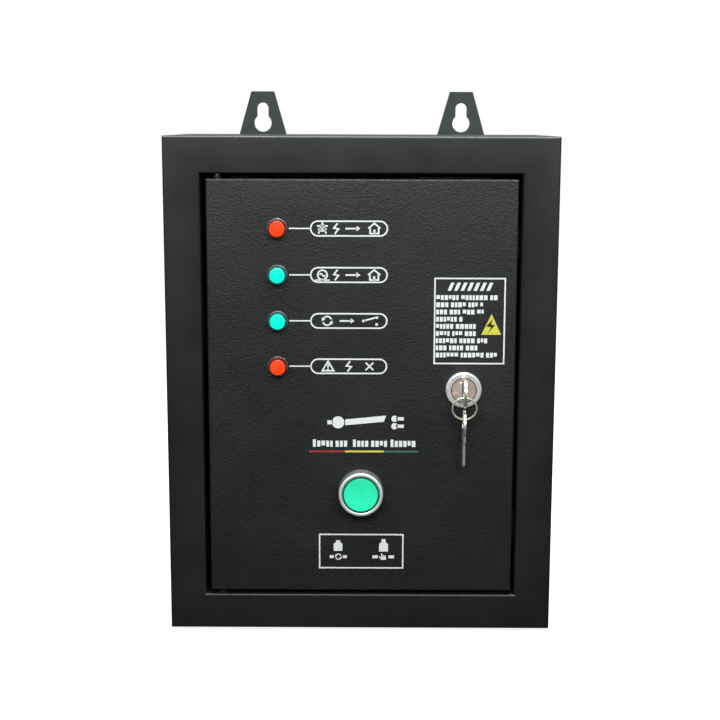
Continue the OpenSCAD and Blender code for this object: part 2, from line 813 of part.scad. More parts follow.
module load_wires() {
    a = entry_at - 1.8;
    top = contactor_high;
    color([0.1, 0.2, 0.55]) for (k = [0, 1]) {
        x0 = contact_x(-1, k);
        x1 = contact_x(1, k) - 0.8;
        // the bridge joins the two contactors' upper ends
        tube(plate_route([[x0, top - 5, a], [x0, top + 4, a], [x0 + 5, top + 11 + 4 * k, a - 2 + 8 * k],
            [x1 - 5, top + 11 + 4 * k, a - 2 + 6 * k], [x1, top + 4, a], [x1, top - 5, a]]), power_r);
        load_drop(k);
    }
}

module earth_wire() {
    xs = pole_x(11);
    color([0.35, 0.6, 0.1]) tube(plate_route([[xs, strip_top, strip_wire_d],
        [xs, strip_top + 8, strip_wire_d + 1], [(xs + earth_x) / 2, strip_top + 15, 19],
        [earth_x, earth_up + 17, 14], [earth_x, earth_up + 6.6, 4.9]]), power_r);
}

module control_wires() {
    low = board_up + 0.4;
    out = board_face + 3.4;
    color([0.7, 0.1, 0.1]) {
        for (w = [[-40, -contactor_x - 8], [-30, -contactor_x + 8], [12, contactor_x - 8],
                  [22, contactor_x + 8]])
            tube(plate_route([[w[0], low, out], [w[0], low - 6, out + 1],
                [w[1], contactor_high + 7, 18], [w[1], contactor_high - 5, 20]]), signal_r);
        for (k = [0, 1]) let (xs = pole_x(6 + k))
            tube(plate_route([[-62 + 5 * k, low, out], [-62 + 5 * k, low - 8, 11],
                [-60 + 5 * k, rail_up, 10], [-60 + 5 * k, 118, 7 - 2 * k],
                [-42 + 8 * k, 98, 3 + 3 * k], [xs - 14, strip_top + 18, 3 + 3 * k],
                [xs, strip_top + 9, strip_signal_d + 1], [xs, strip_top, strip_signal_d]]), signal_r);
    }
}

harness_r = 3.5;
door_harness_r = 3;
loop_start = [-13, 168, 66];
loop_end = [23, 172, 7];
loop_gap = 0.3;
harness_plug_x = board_x - board_w / 2 + 0.6;
trunk_x = hinge_x + loop_end.x;

module harness_trunk() {
    p = plate_route([[harness_plug_x - 0.8, board_up + 35, 14.5],
        [harness_plug_x - 5, board_up + 35, 14.5], [harness_plug_x - 12, board_up + 33, 18]]);
    q = hinge_route([[-17, 250, 92], [-20, 230, 72], [-20, 210, 65], [-14, 190, 66],
        [-13, 178, 66], loop_start]);
    color([0.05, 0.05, 0.05]) tube(concat(p, q), harness_r);
}

module harness_loop() {
    color([0.05, 0.05, 0.05]) tube(hinge_route([loop_start - [0, loop_gap, 0], [-13, 161, 65.5],
        [-12, 151, 61], [-6, 140, 52], [2, 136, 42], [12, 137, 30], [19, 145, 18],
        [22.5, 155, 10], [23, 164, 7.4], loop_end - [0, loop_gap, 0]]), door_harness_r);
}

module harness_clips() {
    wall = -cab_w / 2 + sheet_t;
    color([0.85, 0.85, 0.8]) for (h = [225, 208])
        box(wall, hinge_x - 20 - harness_r - 0.6, depth(61), depth(73), up(h) - 4, up(h) + 4);
}

module door_harness() {
    color([0.05, 0.05, 0.05]) {
        tube(hinge_route([loop_end, [23, 190, 7], [23, 215, 7], [23, 240, 7], [23, 262, 7]]),
            door_harness_r);
        for (h = lamp_heights) for (s = [-1, 1]) let (x = lamp_x - hinge_x)
            tube(hinge_route([[26.8, h - 10 + 2 * s, 8], [29.5, h - 9.5 + 1.5 * s, 15],
                [x - 4 + 2 * s, h - 7, 24], [x + 2.5 * s, h - 3.2, 31.2],
                [x + 2.5 * s, h - 0.6, 30.2]]), 0.7);
        tube(hinge_route([[18, 188, 7], [17, 160, 6.5], [18, 132, 6.5], [26, 114, 9],
            [44, 103, 18], [62, 98, 28], [button_x - 13 - hinge_x, 95, 34]]), 1.6);
    }
}

module door_harness_clips() {
    color([0.85, 0.85, 0.8]) for (h = [196, 250])
        box(trunk_x - 5, trunk_x + 5, depth(sheet_t), depth(7 - door_harness_r - 0.2),
            up(h) - 5, up(h) + 5);
}

// ---------- Door ----------

module door_panel() {
    x0 = door_left;
    x1 = door_right;
    color([0.12, 0.13, 0.13]) difference() {
        folded_block(x0, x1, up(door_low), up(door_high), front_y, flange_d, bend_r);
        folded_block(x0 + sheet_t, x1 - sheet_t, up(door_low) + sheet_t,
            up(door_high) - sheet_t, front_y + sheet_t, flange_d, bend_r - sheet_t + 0.1);
        for (h = lamp_heights) behind_door(lamp_x, up(h)) translate([0, 0, -1])
            cylinder(h = sheet_t + 2, r = lamp_barrel_r + seat_gap);
        behind_door(button_x, up(button_up)) translate([0, 0, -1])
            cylinder(h = sheet_t + 2, r = barrel_r + seat_gap);
        behind_door(lock_x, up(lock_up)) translate([0, 0, -1]) intersection() {
            cylinder(h = sheet_t + 2, r = lock_barrel_r + seat_gap);
            lock_flats(seat_gap);
        }
        for (h = [door_low + sheet_t / 2, door_high - sheet_t / 2])
            translate([hinge_x, depth(hinge_back), up(h)])
                cylinder(h = 2 * sheet_t, r = pin_r + run_gap, center = true);
    }
}

module hinge_bushes() {
    color([0.7, 0.7, 0.68]) translate([hinge_x, depth(hinge_back), 0]) {
        ring(bush_r, pin_r + run_gap, up(door_high) - sheet_t - bush_l, up(door_high) - sheet_t);
        ring(bush_r, pin_r + run_gap, up(door_low) + sheet_t, up(door_low) + sheet_t + bush_l);
    }
}

// ---------- Pilot lamps ----------

module lamp_lenses(heights) {
    r = lens_r;
    for (h = heights) behind_door(lamp_x, up(h))
        turned(concat([[0, -lens_h], [r - 1.4, -lens_h]],
            arc(r - 1.4, -lens_h + 0.6, 0.6, -90, -20, 4),
            [[r, -1.4], [r, -0.8], [0, -0.8]]));
}

module red_lamp_lenses() { color([0.95, 0.2, 0.1]) lamp_lenses(red_lamps); }
module green_lamp_lenses() { color([0.05, 0.85, 0.65]) lamp_lenses(green_lamps); }

module lamp_bezels() {
    r = lens_r + 0.05;
    color([0.8, 0.8, 0.8]) for (h = lamp_heights) behind_door(lamp_x, up(h))
        turned([[r, -1.5], [r + 0.2, -1.5], [r + 0.45, -1.2], [r + 0.45, 0], [r, 0]]);
}

module lamp_bodies() {
    b = lamp_barrel_r;
    color([0.1, 0.1, 0.1]) for (h = lamp_heights) behind_door(lamp_x, up(h)) {
        turned([[0, -0.8], [lens_r, -0.8], [lens_r, 0], [b, 0], [b, lamp_barrel_l],
            [b - 1, lamp_barrel_l], [b - 1, lamp_barrel_l + 4], [0, lamp_barrel_l + 4]]);
        for (s = [-1, 1]) translate([2.5 * s - 0.4, -1.2, lamp_barrel_l + 4])
            cube([0.8, 2.4, 5]);
    }
}

module lamp_nuts() {
    color([0.8, 0.8, 0.78]) for (h = lamp_heights) behind_door(lamp_x, up(h)) difference() {
        hex(lamp_nut_r, sheet_t, sheet_t + 3);
        cylinder(h = 10, r = lamp_barrel_r + run_gap);
    }
}

// ---------- Push button ----------

module button_bezel() {
    r = bezel_r;
    b = bezel_bore_r;
    h = bezel_h;
    color([0.75, 0.75, 0.75]) behind_door(button_x, up(button_up)) difference() {
        turned(concat([[b, -1.5], [b, -h + 0.5], [b + 0.5, -h]],
            arc(r - 1.6, -h + 1.2, 1.2, -90, -10, 5),
            [[r, -3], [r, 0], [barrel_r + run_gap, 0], [barrel_r + run_gap, -1.5]]));
        // two notches for the assembly tool
        for (a = [-20, 160]) rotate([0, 0, a])
            translate([b - 0.5, -1, -h - 1]) cube([1.3, 2, 2.2]);
    }
}

module button_body() {
    color([0.08, 0.08, 0.08]) behind_door(button_x, up(button_up)) difference() {
        union() {
            translate([0, 0, -1.5]) cylinder(h = housing_front + 1.5, r = barrel_r);
            translate([-14.5, -14.5, housing_front]) cube([29, 29, housing_back - housing_front]);
        }
        translate([0, 0, -2]) cylinder(h = spring_seat + 2, r = stem_r + 0.15);
    }
}

module button_nut() {
    color([0.1, 0.1, 0.1]) behind_door(button_x, up(button_up)) difference() {
        union() {
            cylinder(h = sheet_t + 4.5, r = 14.2);
            for (a = [0:30:330]) rotate([0, 0, a])
                translate([13, -1.6, sheet_t]) cube([2.2, 3.2, 4.5]);
        }
        translate([0, 0, -1]) cylinder(h = 10, r = barrel_r + seat_gap);
        translate([0, 0, -1]) cylinder(h = sheet_t + 1, r = 20);
    }
}

module button_contact_block() {
    color([0.75, 0.74, 0.7]) behind_door(button_x, up(button_up)) difference() {
        union() {
            translate([-12, -14, housing_back]) cube([24, 28, 14]);
            translate([-12, -8, housing_back + 14]) cube([24, 16, contact_back - housing_back - 14]);
        }
        for (x = [-6.5, 6.5]) for (y = [-11, 11]) translate([x, y, housing_back + 12])
            cylinder(h = 10, r = 2.4);
    }
}

// The return spring stands in the barrel between the stem and the seat.
module button_spring() {
    low = stem_end + spring_wire_r + 0.1;
    high = spring_seat - spring_wire_r - 0.1;
    n = spring_turns * 10;
    coil = [for (i = [0:n]) [spring_r * cos(36 * i), spring_r * sin(36 * i),
        low + (high - low) * i / n]];
    color([0.7, 0.7, 0.7]) behind_door(button_x, up(button_up)) tube(coil, spring_wire_r, 1, 6);
}

module button_cap() {
    f = cap_face_r;
    s = bezel_bore_r - free_gap;
    h = bezel_h - 0.1;
    skirt = button_travel + 1.7;
    color([0.1, 0.8, 0.5]) behind_door(button_x, up(button_up))
        turned(concat([[0, -h], [f - 1, -h]], arc(f - 1, -h + 1, 1, -90, 0, 5),
            [[f, -h + 1.8], [s, -h + 1.8], [s, -skirt], [stem_r, -skirt], [stem_r, stem_end],
             [stem_r - 1.5, stem_end], [stem_r - 1.5, -skirt + 1], [0, -skirt + 1]]));
}

// ---------- Lock and keys ----------

// The lock's barrel is flat on both sides, which keeps it from turning in the door.
module lock_flats(gap) {
    half = lock_barrel_r - 0.8 + gap;
    translate([-half, -20, 0]) cube([2 * half, 40, 40]);
}

module lock_housing() {
    r = lock_face_r;
    b = lock_barrel_r;
    c = core_r + run_gap;
    color([0.8, 0.8, 0.8]) behind_door(lock_x, up(lock_up)) difference() {
        union() {
            turned([[0, -lock_front], [r - 0.7, -lock_front], [r, -lock_front + 0.7], [r, 0],
                [0, 0]]);
            intersection() {
                cylinder(h = lock_back, r = b);
                lock_flats(0);
            }
        }
        translate([0, 0, -5]) cylinder(h = 8, r = c);
        translate([0, 0, -5]) cylinder(h = 30, r = core_shank_r + run_gap);
    }
}

module lock_nut() {
    color([0.8, 0.8, 0.78]) behind_door(lock_x, up(lock_up)) difference() {
        hex(12.8, sheet_t, sheet_t + 3.5);
        cylinder(h = 10, r = lock_barrel_r + run_gap);
    }
}

module lock_core() {
    c = core_r;
    color([0.78, 0.74, 0.72]) behind_door(lock_x, up(lock_up)) difference() {
        turned([[0, -core_front], [c - 0.4, -core_front], [c, -core_front + 0.4], [c, 2.9],
            [core_shank_r, 2.9], [core_shank_r, cam_front], [0, cam_front]]);
        translate([-key_t / 2 - free_gap, -blade_h / 2 - free_gap, -core_front - 1])
            cube([key_t + 2 * free_gap, blade_h + 2 * free_gap,
                core_front + 1 + blade_l - shoulder + free_gap]);
    }
}

// The cam points up when the lock is open and swings behind the frame's lip to lock.
module lock_cam() {
    w = cam_w / 2;
    color([0.75, 0.75, 0.72]) behind_door(lock_x, up(lock_up))
        translate([0, 0, cam_front]) linear_extrude(cam_t) {
            circle(w);
            translate([-w, -cam_l + 4]) square([2 * w, cam_l - 4]);
            translate([-w + 4, -cam_l]) square([2 * w - 8, 4]);
            for (s = [-1, 1]) translate([s * (w - 4), -cam_l + 4]) circle(4);
        }
}

module lock_cam_screw() {
    color([0.8, 0.8, 0.78]) behind_door(lock_x, up(lock_up))
        translate([0, 0, cam_front + cam_t]) screw_head(4, 2.6);
}

// A key's outline: its shoulder is at height 0, the bow is above it and the blade below.
module key_outline() {
    difference() {
        union() {
            translate([0, bow_l - bow_r]) circle(bow_r);
            translate([-bow_r + 2.2, 0]) square([2 * bow_r - 4.4, bow_r]);
            translate([-blade_h / 2, -blade_l + 2]) square([blade_h, blade_l]);
            polygon([[-blade_h / 2, -blade_l + 2], [-blade_h / 2 + 2, -blade_l],
                [blade_h / 2 - 2, -blade_l], [blade_h / 2, -blade_l + 2]]);
        }
        translate([0, bow_l - hole_in]) circle(bow_hole_r);
        // the cuts that work the tumblers
        for (i = [0:4]) translate([blade_h / 2 + 0.7 - 0.25 * (i % 2), -4 - 2.6 * i])
            circle(r = 1.4, $fn = 24);
    }
}

module key_solid() {
    linear_extrude(key_t, center = true) key_outline();
}

module key() {
    color([0.8, 0.79, 0.74]) translate([lock_x, depth(-shoulder), up(lock_up)])
        rotate([90, 0, 0]) rotate([90, 0, 90]) key_solid();
}

module key_ring() {
    color([0.78, 0.78, 0.76])
        translate([lock_x, depth(-ring_front), up(lock_up) + ring_top])
            rotate([ring_lean, 0, 0]) translate([0, 0, -ring_r]) rotate([90, 0, 0])
                rotate_extrude($fn = 96) translate([ring_r, 0]) circle(ring_wire_r);
}

module spare_key() {
    drop = bow_hole_r - ring_wire_r - ring_gap + bow_l - hole_in;
    color([0.8, 0.79, 0.74])
        translate([lock_x, front_y + ring_low_y, up(lock_up) + ring_low_z - drop])
            rotate([90, 0, 90]) key_solid();
}

cabinet_shell();
hanging_tabs();
hinge_pins();
hinge_washers();
door_stop_tabs();
stop_bumpers();
cable_grommets();
plate_studs();
mounting_plate();
plate_nuts();
din_rail();
rail_screws();
mains_contactor_base();
mains_contactor_cover();
mains_armature();
generator_contactor_base();
generator_contactor_cover();
generator_armature();
interlock_module();
contactor_screws();
control_board();
board_relays();
board_transformer();
board_connectors();
board_capacitors();
board_standoffs();
terminal_strip();
strip_screws();
earth_stud();
mains_wires();
generator_wires();
load_wires();
earth_wire();
control_wires();
harness_trunk();
harness_loop();
harness_clips();
door_harness();
door_harness_clips();
door_panel();
hinge_bushes();
red_lamp_lenses();
green_lamp_lenses();
lamp_bezels();
lamp_bodies();
lamp_nuts();
button_bezel();
button_body();
button_nut();
button_contact_block();
button_spring();
button_cap();
lock_housing();
lock_nut();
lock_core();
lock_cam();
lock_cam_screw();
key();
key_ring();
spare_key();
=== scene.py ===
import json
import math
import random

import bmesh
import bpy
from mathutils import Matrix, Vector


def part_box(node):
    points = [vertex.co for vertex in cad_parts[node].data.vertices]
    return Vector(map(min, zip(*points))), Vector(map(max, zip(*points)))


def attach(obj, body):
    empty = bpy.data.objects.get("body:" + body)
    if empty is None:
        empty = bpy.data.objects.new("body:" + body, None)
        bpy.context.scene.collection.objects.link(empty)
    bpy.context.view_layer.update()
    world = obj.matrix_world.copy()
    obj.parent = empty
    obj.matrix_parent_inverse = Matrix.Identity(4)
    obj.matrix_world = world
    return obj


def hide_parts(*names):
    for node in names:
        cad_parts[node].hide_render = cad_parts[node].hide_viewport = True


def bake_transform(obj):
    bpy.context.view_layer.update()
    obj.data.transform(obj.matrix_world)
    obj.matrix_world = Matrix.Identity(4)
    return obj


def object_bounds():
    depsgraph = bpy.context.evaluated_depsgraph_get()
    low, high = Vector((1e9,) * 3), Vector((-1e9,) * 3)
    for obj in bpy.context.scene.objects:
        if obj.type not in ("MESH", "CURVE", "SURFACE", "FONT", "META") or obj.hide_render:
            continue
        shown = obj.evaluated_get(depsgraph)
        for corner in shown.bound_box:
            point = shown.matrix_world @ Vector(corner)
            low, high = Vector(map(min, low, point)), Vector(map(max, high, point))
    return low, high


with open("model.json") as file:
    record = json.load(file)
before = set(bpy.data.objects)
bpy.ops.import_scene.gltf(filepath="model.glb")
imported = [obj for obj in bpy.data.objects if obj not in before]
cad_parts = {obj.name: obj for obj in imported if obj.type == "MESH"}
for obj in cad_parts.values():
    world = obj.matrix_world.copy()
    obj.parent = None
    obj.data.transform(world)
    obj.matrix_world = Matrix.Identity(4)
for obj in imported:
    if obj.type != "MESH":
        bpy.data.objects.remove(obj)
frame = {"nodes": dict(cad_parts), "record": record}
cad_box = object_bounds()
nodes = frame["nodes"]

# Lengths below are in millimetres unless a name says otherwise; MM turns them into metres.
MM = 0.001
shell_low, shell_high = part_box("cabinet_shell")
FRONT_Y = shell_low.y
FOOT_Z = shell_low.z


def spot(x, height, proud=0.0):
    """The point x to the right of the middle, height above the cabinet's bottom, proud of the door's face."""
    return Vector((x * MM, FRONT_Y - proud * MM, FOOT_Z + height * MM))


def middle(node):
    """The middle of a CAD node's box, as (x, height above the cabinet's bottom), in millimetres."""
    low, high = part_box(node)
    centre = (low + high) / 2 / MM
    return centre.x, centre.z - FOOT_Z / MM


# ---------- Camera, light and floor ----------

WORLD_STRENGTH = 0.46
COOL = (0.94, 1.0, 0.985)
# The camera's place is in metres, and its turns are in degrees.
CAMERA_PLACE = (0.0017, -1.01099, -0.00015)
CAMERA_YAW, CAMERA_PITCH, CAMERA_ROLL = 0.146, -9.75, -0.176
CAMERA_LENS = 68.83


def make_camera():
    data = bpy.data.cameras.new("camera")
    data.sensor_width = 36.0
    data.lens = CAMERA_LENS
    data.clip_start, data.clip_end = 0.05, 50
    camera = bpy.data.objects.new("camera", data)
    bpy.context.scene.collection.objects.link(camera)
    turned = Matrix.Rotation(math.radians(CAMERA_YAW), 4, "Z")
    for angle, axis in ((CAMERA_PITCH, "X"), (CAMERA_ROLL, "Y"), (90, "X")):
        turned = turned @ Matrix.Rotation(math.radians(angle), 4, axis)
    camera.matrix_world = Matrix.Translation(CAMERA_PLACE) @ turned
    bpy.context.scene.camera = camera


def make_area_light(name, place, target, size, power, colour=(1, 1, 1)):
    data = bpy.data.lights.new(name, "AREA")
    data.shape = "RECTANGLE"
    data.size, data.size_y = size
    data.energy = power
    data.color = colour
    light = bpy.data.objects.new(name, data)
    bpy.context.scene.collection.objects.link(light)
    light.location = place
    light.rotation_mode = "QUATERNION"
    light.rotation_quaternion = (Vector(target) - Vector(place)).to_track_quat("-Z", "Y")


def make_world():
    """A studio, bright above the horizon and dim below it, and plain white where the camera sees it."""
    world = bpy.data.worlds.new("studio")
    bpy.context.scene.world = world
    world.use_nodes = True
    tree = world.node_tree
    tree.nodes.clear()
    direction = add(tree, "ShaderNodeTexCoord")
    split = add(tree, "ShaderNodeSeparateXYZ", {"Vector": direction.outputs["Generated"]})
    share = add(tree, "ShaderNodeMapRange", {"Value": split.outputs["Z"], "From Min": -1.0, "From Max": 1.0})
    ramp = colour_ramp(tree, share.outputs["Result"], [
        (0.0, (0.04, 0.04, 0.04)), (0.36, (0.07, 0.07, 0.07)), (0.46, (0.20, 0.21, 0.21)),
        (0.53, (0.80, 0.82, 0.82)), (0.65, (1.0, 1.02, 1.02)), (1.0, (1.3, 1.3, 1.3))])
    soft = add(tree, "ShaderNodeBackground", {"Color": ramp, "Strength": WORLD_STRENGTH})
    seen = add(tree, "ShaderNodeBackground", {"Color": (1, 1, 1, 1), "Strength": 1.0})
    path = add(tree, "ShaderNodeLightPath")
    mix = add(tree, "ShaderNodeMixShader", {0: path.outputs["Is Camera Ray"], 1: soft.outputs[0],
                                            2: seen.outputs[0]})
    output = add(tree, "ShaderNodeOutputWorld")
    tree.links.new(mix.outputs[0], output.inputs["Surface"])


def make_floor():
    """A plain pale floor under the cabinet's lowest piece. Only the camera sees it, so it tints nothing."""
    bm = bmesh.new()
    bmesh.ops.create_grid(bm, x_segments=1, y_segments=1, size=6.0)
    floor = link_mesh("floor", bm)
    floor.location = (0, 0, cad_box[0].z - 0.0002)
    floor.visible_diffuse = False
    floor.visible_glossy = False
    material, tree, shader = new_material("floor")
    tone = noise_colour(tree, (0.30, 0.30, 0.30), (0.34, 0.34, 0.34), 2.0)
    tree.links.new(tone, shader.inputs["Base Color"])
    shader.inputs["Roughness"].default_value = 0.8
    shader.inputs["Specular IOR Level"].default_value = 0.0
    shader.inputs["Emission Color"].default_value = (1, 1, 1, 1)
    shader.inputs["Emission Strength"].default_value = 0.86
    floor.data.materials.append(material)


# ---------- Node and mesh helpers ----------

def add(tree, kind, inputs=None, **settings):
    """Adds a shader node; an input is a value or another node's output."""
    made = tree.nodes.new(kind)
    for key, value in settings.items():
        setattr(made, key, value)
    for key, value in (inputs or {}).items():
        if isinstance(value, bpy.types.NodeSocket):
            tree.links.new(value, made.inputs[key])
        else:
            made.inputs[key].default_value = value
    return made


def colour_ramp(tree, share, stops):
    """A colour ramp's colour output; stops are (position, colour)."""
    made = add(tree, "ShaderNodeValToRGB", {"Fac": share})
    ramp = made.color_ramp
    while len(ramp.elements) < len(stops):
        ramp.elements.new(0.5)
    for element, (position, colour) in zip(ramp.elements, stops):
        element.position = position
        element.color = (*colour, 1)
    return made.outputs["Color"]


def place_vector(tree, stretch=(1, 1, 1)):
    """Points in the row frame, in metres, stretched along each axis."""
    coordinates = add(tree, "ShaderNodeTexCoord").outputs["Object"]
    return add(tree, "ShaderNodeMapping", {"Vector": coordinates, "Scale": stretch}).outputs["Vector"]


def noise(tree, size, detail=2.0, stretch=(1, 1, 1), rough=0.5):
    """A noise value from 0 to 1 whose features are about size millimetres."""
    return add(tree, "ShaderNodeTexNoise", {"Vector": place_vector(tree, stretch), "Scale": 1000.0 / size,
                                            "Detail": detail, "Roughness": rough}).outputs["Fac"]


def spread(tree, value, low, high, to_low=0.0, to_high=1.0):
    """Maps value from low..high to to_low..to_high, held at the ends."""
    return add(tree, "ShaderNodeMapRange", {"Value": value, "From Min": low, "From Max": high,
                                            "To Min": to_low, "To Max": to_high}).outputs["Result"]


def noise_colour(tree, dark, light, size):
    """A colour that wanders between two tones."""
    share = spread(tree, noise(tree, size * 1000, 3.0), 0.35, 0.65)
    return colour_ramp(tree, share, [(0.0, dark), (1.0, light)])


def mix_colour(tree, share, first, second):
    made = add(tree, "ShaderNodeMix", data_type="RGBA")
    for key, value in ((0, share), (6, first), (7, second)):
        if isinstance(value, bpy.types.NodeSocket):
            tree.links.new(value, made.inputs[key])
        elif key == 0:
            made.inputs[key].default_value = value
        else:
            made.inputs[key].default_value = (*value, 1)
    return made.outputs[2]


def bump(tree, shader, height, depth, strength=1.0, under=None):
    """Bumps the shader's surface by height (0 to 1) times depth millimetres."""
    inputs = {"Height": height, "Distance": depth * MM, "Strength": strength}
    if under is not None:
        inputs["Normal"] = under
    made = add(tree, "ShaderNodeBump", inputs)
    tree.links.new(made.outputs["Normal"], shader.inputs["Normal"])
    return made.outputs["Normal"]


def facing_front(tree):
    """How squarely the surface faces out of the door: 1 in front, 0 on a side. It turns with the door."""
    normal = add(tree, "ShaderNodeTexCoord").outputs["Normal"]
    made = add(tree, "ShaderNodeVectorMath", {0: normal, 1: (0, -1, 0)}, operation="DOT_PRODUCT")
    return made.outputs["Value"]


def axis_distance(tree, x, height):
    """Distance in millimetres from an axis that runs straight out of the door at (x, height)."""
    centre = spot(x, height)
    offset = add(tree, "ShaderNodeVectorMath", {0: add(tree, "ShaderNodeTexCoord").outputs["Object"],
                                                1: (centre.x, 0, centre.z)}, operation="SUBTRACT").outputs[0]
    flat = add(tree, "ShaderNodeVectorMath", {0: offset, 1: (1000, 0, 1000)}, operation="MULTIPLY").outputs[0]
    return add(tree, "ShaderNodeVectorMath", {0: flat}, operation="LENGTH").outputs["Value"]


def new_material(name):
    material = bpy.data.materials.new(name)
    material.use_nodes = True
    return material, material.node_tree, material.node_tree.nodes["Principled BSDF"]


def link_mesh(name, bm):
    """Turns a bmesh into an object of the scene."""
    mesh = bpy.data.meshes.new(name)
    bm.to_mesh(mesh)
    bm.free()
    made = bpy.data.objects.new(name, mesh)
    bpy.context.scene.collection.objects.link(made)
    return made


# ---------- Materials ----------

def specks(tree, cell, radius, share):
    """Small round specks: 1 inside one, 0 elsewhere. cell and radius are in millimetres, and share is how
    many of the cells have one."""
    made = add(tree, "ShaderNodeTexVoronoi", {"Vector": place_vector(tree), "Scale": 1000.0 / cell})
    near = spread(tree, made.outputs["Distance"], radius / cell, 0.6 * radius / cell)
    pick = add(tree, "ShaderNodeSeparateColor", {"Color": made.outputs["Color"]}).outputs[0]
    chosen = add(tree, "ShaderNodeMath", {0: pick, 1: 1 - share}, operation="GREATER_THAN").outputs[0]
    return add(tree, "ShaderNodeMath", {0: near, 1: chosen}, operation="MULTIPLY").outputs[0]


def paint(name, tones, rough, grain, depth, dust=0.0, painted_glint_share=0.0, gloss=0.5):
    """Powder coat: tones are its darker and lighter colour, grain is its texture's size in millimetres."""
    material, tree, shader = new_material(name)
    shader.inputs["Specular IOR Level"].default_value = gloss
    tone = noise_colour(tree, tones[0], tones[1], 0.05)
    fine = noise(tree, grain, 3.0, rough=0.6)
    tone = mix_colour(tree, spread(tree, fine, 0.3, 0.7, 0.0, 0.55), tone, [0.55 * c for c in tones[0]])
    # painted glints: bright specks in the base colour stand in for the light's sparkle on the grain
    if painted_glint_share:
        painted_glints = specks(tree, 1.6, 0.20, painted_glint_share)
        tone = mix_colour(tree, painted_glints, tone, [6.0 * c for c in tones[1]])
    if dust:
        tone = mix_colour(tree, specks(tree, 17.0, 0.5, dust), tone, (0.30, 0.30, 0.28))
    tree.links.new(tone, shader.inputs["Base Color"])
    wander = spread(tree, noise(tree, 22.0, 3.0), 0.3, 0.7, rough - 0.04, rough + 0.05)
    tree.links.new(wander, shader.inputs["Roughness"])
    bump(tree, shader, fine, depth, 0.8)
    return material


def plated(name, tones, rough, spangle=2.5, streak=(1, 1, 1)):
    """Zinc or nickel plating: soft crystals and light scratches."""
    material, tree, shader = new_material(name)
    crystals = add(tree, "ShaderNodeTexVoronoi", {"Vector": place_vector(tree, streak),
                                                  "Scale": 1000 / spangle})
    pick = add(tree, "ShaderNodeSeparateColor", {"Color": crystals.outputs["Color"]}).outputs[0]
    share = add(tree, "ShaderNodeMath", {0: pick, 1: noise(tree, 9.0, 4.0)}, operation="MULTIPLY").outputs[0]
    tone = mix_colour(tree, share, tones[0], tones[1])
    tree.links.new(tone, shader.inputs["Base Color"])
    shader.inputs["Metallic"].default_value = 1.0
    wander = spread(tree, share, 0.0, 0.6, rough, rough + 0.14)
    tree.links.new(wander, shader.inputs["Roughness"])
    scratches = noise(tree, 0.5, 4.0, stretch=(0.08, 1, 1), rough=0.7)
    bump(tree, shader, scratches, 0.006, 0.5)
    return material


def polished(name, tone, rough, metallic=1.0, side=1.0):
    """Chrome or polished metal with faint smudges. side is how much of its brightness is left where it
    doesn't face out of the door, as painted shade on its sides."""
    material, tree, shader = new_material(name)
    shader.inputs["Metallic"].default_value = metallic
    smudge = noise(tree, 4.0, 5.0, rough=0.7)
    colour = mix_colour(tree, spread(tree, smudge, 0.4, 0.75, 0.0, 0.35), tone, [0.8 * c for c in tone])
    # painted shade: surfaces that turn away from the door's front are darkened to side times the tone
    if side < 1.0:
        share = spread(tree, facing_front(tree), 0.2, 0.85)
        colour = mix_colour(tree, share, [side * c for c in tone], colour)
    tree.links.new(colour, shader.inputs["Base Color"])
    tree.links.new(spread(tree, smudge, 0.35, 0.75, rough, rough + 0.16), shader.inputs["Roughness"])
    bump(tree, shader, noise(tree, 0.4, 3.0), 0.002, 0.4)
    return material


def plastic(name, tones, rough, grain=0.35, depth=0.012, soft=0.0, stripe=None):
    """Moulded plastic with a fine spark-eroded texture; stripe colours one side of a wire."""
    material, tree, shader = new_material(name)
    tone = noise_colour(tree, tones[0], tones[1], 0.012)
    if stripe:
        tone = mix_colour(tree, spread(tree, facing_front(tree), 0.28, 0.36), tone, stripe)
    tree.links.new(tone, shader.inputs["Base Color"])
    tree.links.new(spread(tree, noise(tree, 5.0, 3.0), 0.3, 0.7, rough - 0.04, rough + 0.07),
                   shader.inputs["Roughness"])
    if soft:
        shader.inputs["Subsurface Weight"].default_value = soft
        shader.inputs["Subsurface Scale"].default_value = 0.002
    bump(tree, shader, noise(tree, grain, 2.0), depth, 0.6)
    return material


def lit_lens(name, core, rim, glow, shadow):
    """A lit lens: its face glows, deeper in colour towards the edge, and its side is dark: painted shade,
    mixed in by which way the surface faces.
    """
    material, tree, shader = new_material(name)
    cloud = spread(tree, noise(tree, 4.0, 2.0), 0.3, 0.7, 0.0, 0.6)
    face = mix_colour(tree, cloud, core, rim)
    share = spread(tree, facing_front(tree), 0.45, 0.97)
    tone = mix_colour(tree, share, shadow, face)
    tree.links.new(mix_colour(tree, share, shadow, [0.25 * c for c in rim]), shader.inputs["Base Color"])
    tree.links.new(tone, shader.inputs["Emission Color"])
    shader.inputs["Emission Strength"].default_value = glow
    tree.links.new(spread(tree, noise(tree, 2.0, 3.0), 0.3, 0.7, 0.22, 0.34), shader.inputs["Roughness"])
    bump(tree, shader, noise(tree, 0.6, 2.0), 0.008, 0.3)
    return material


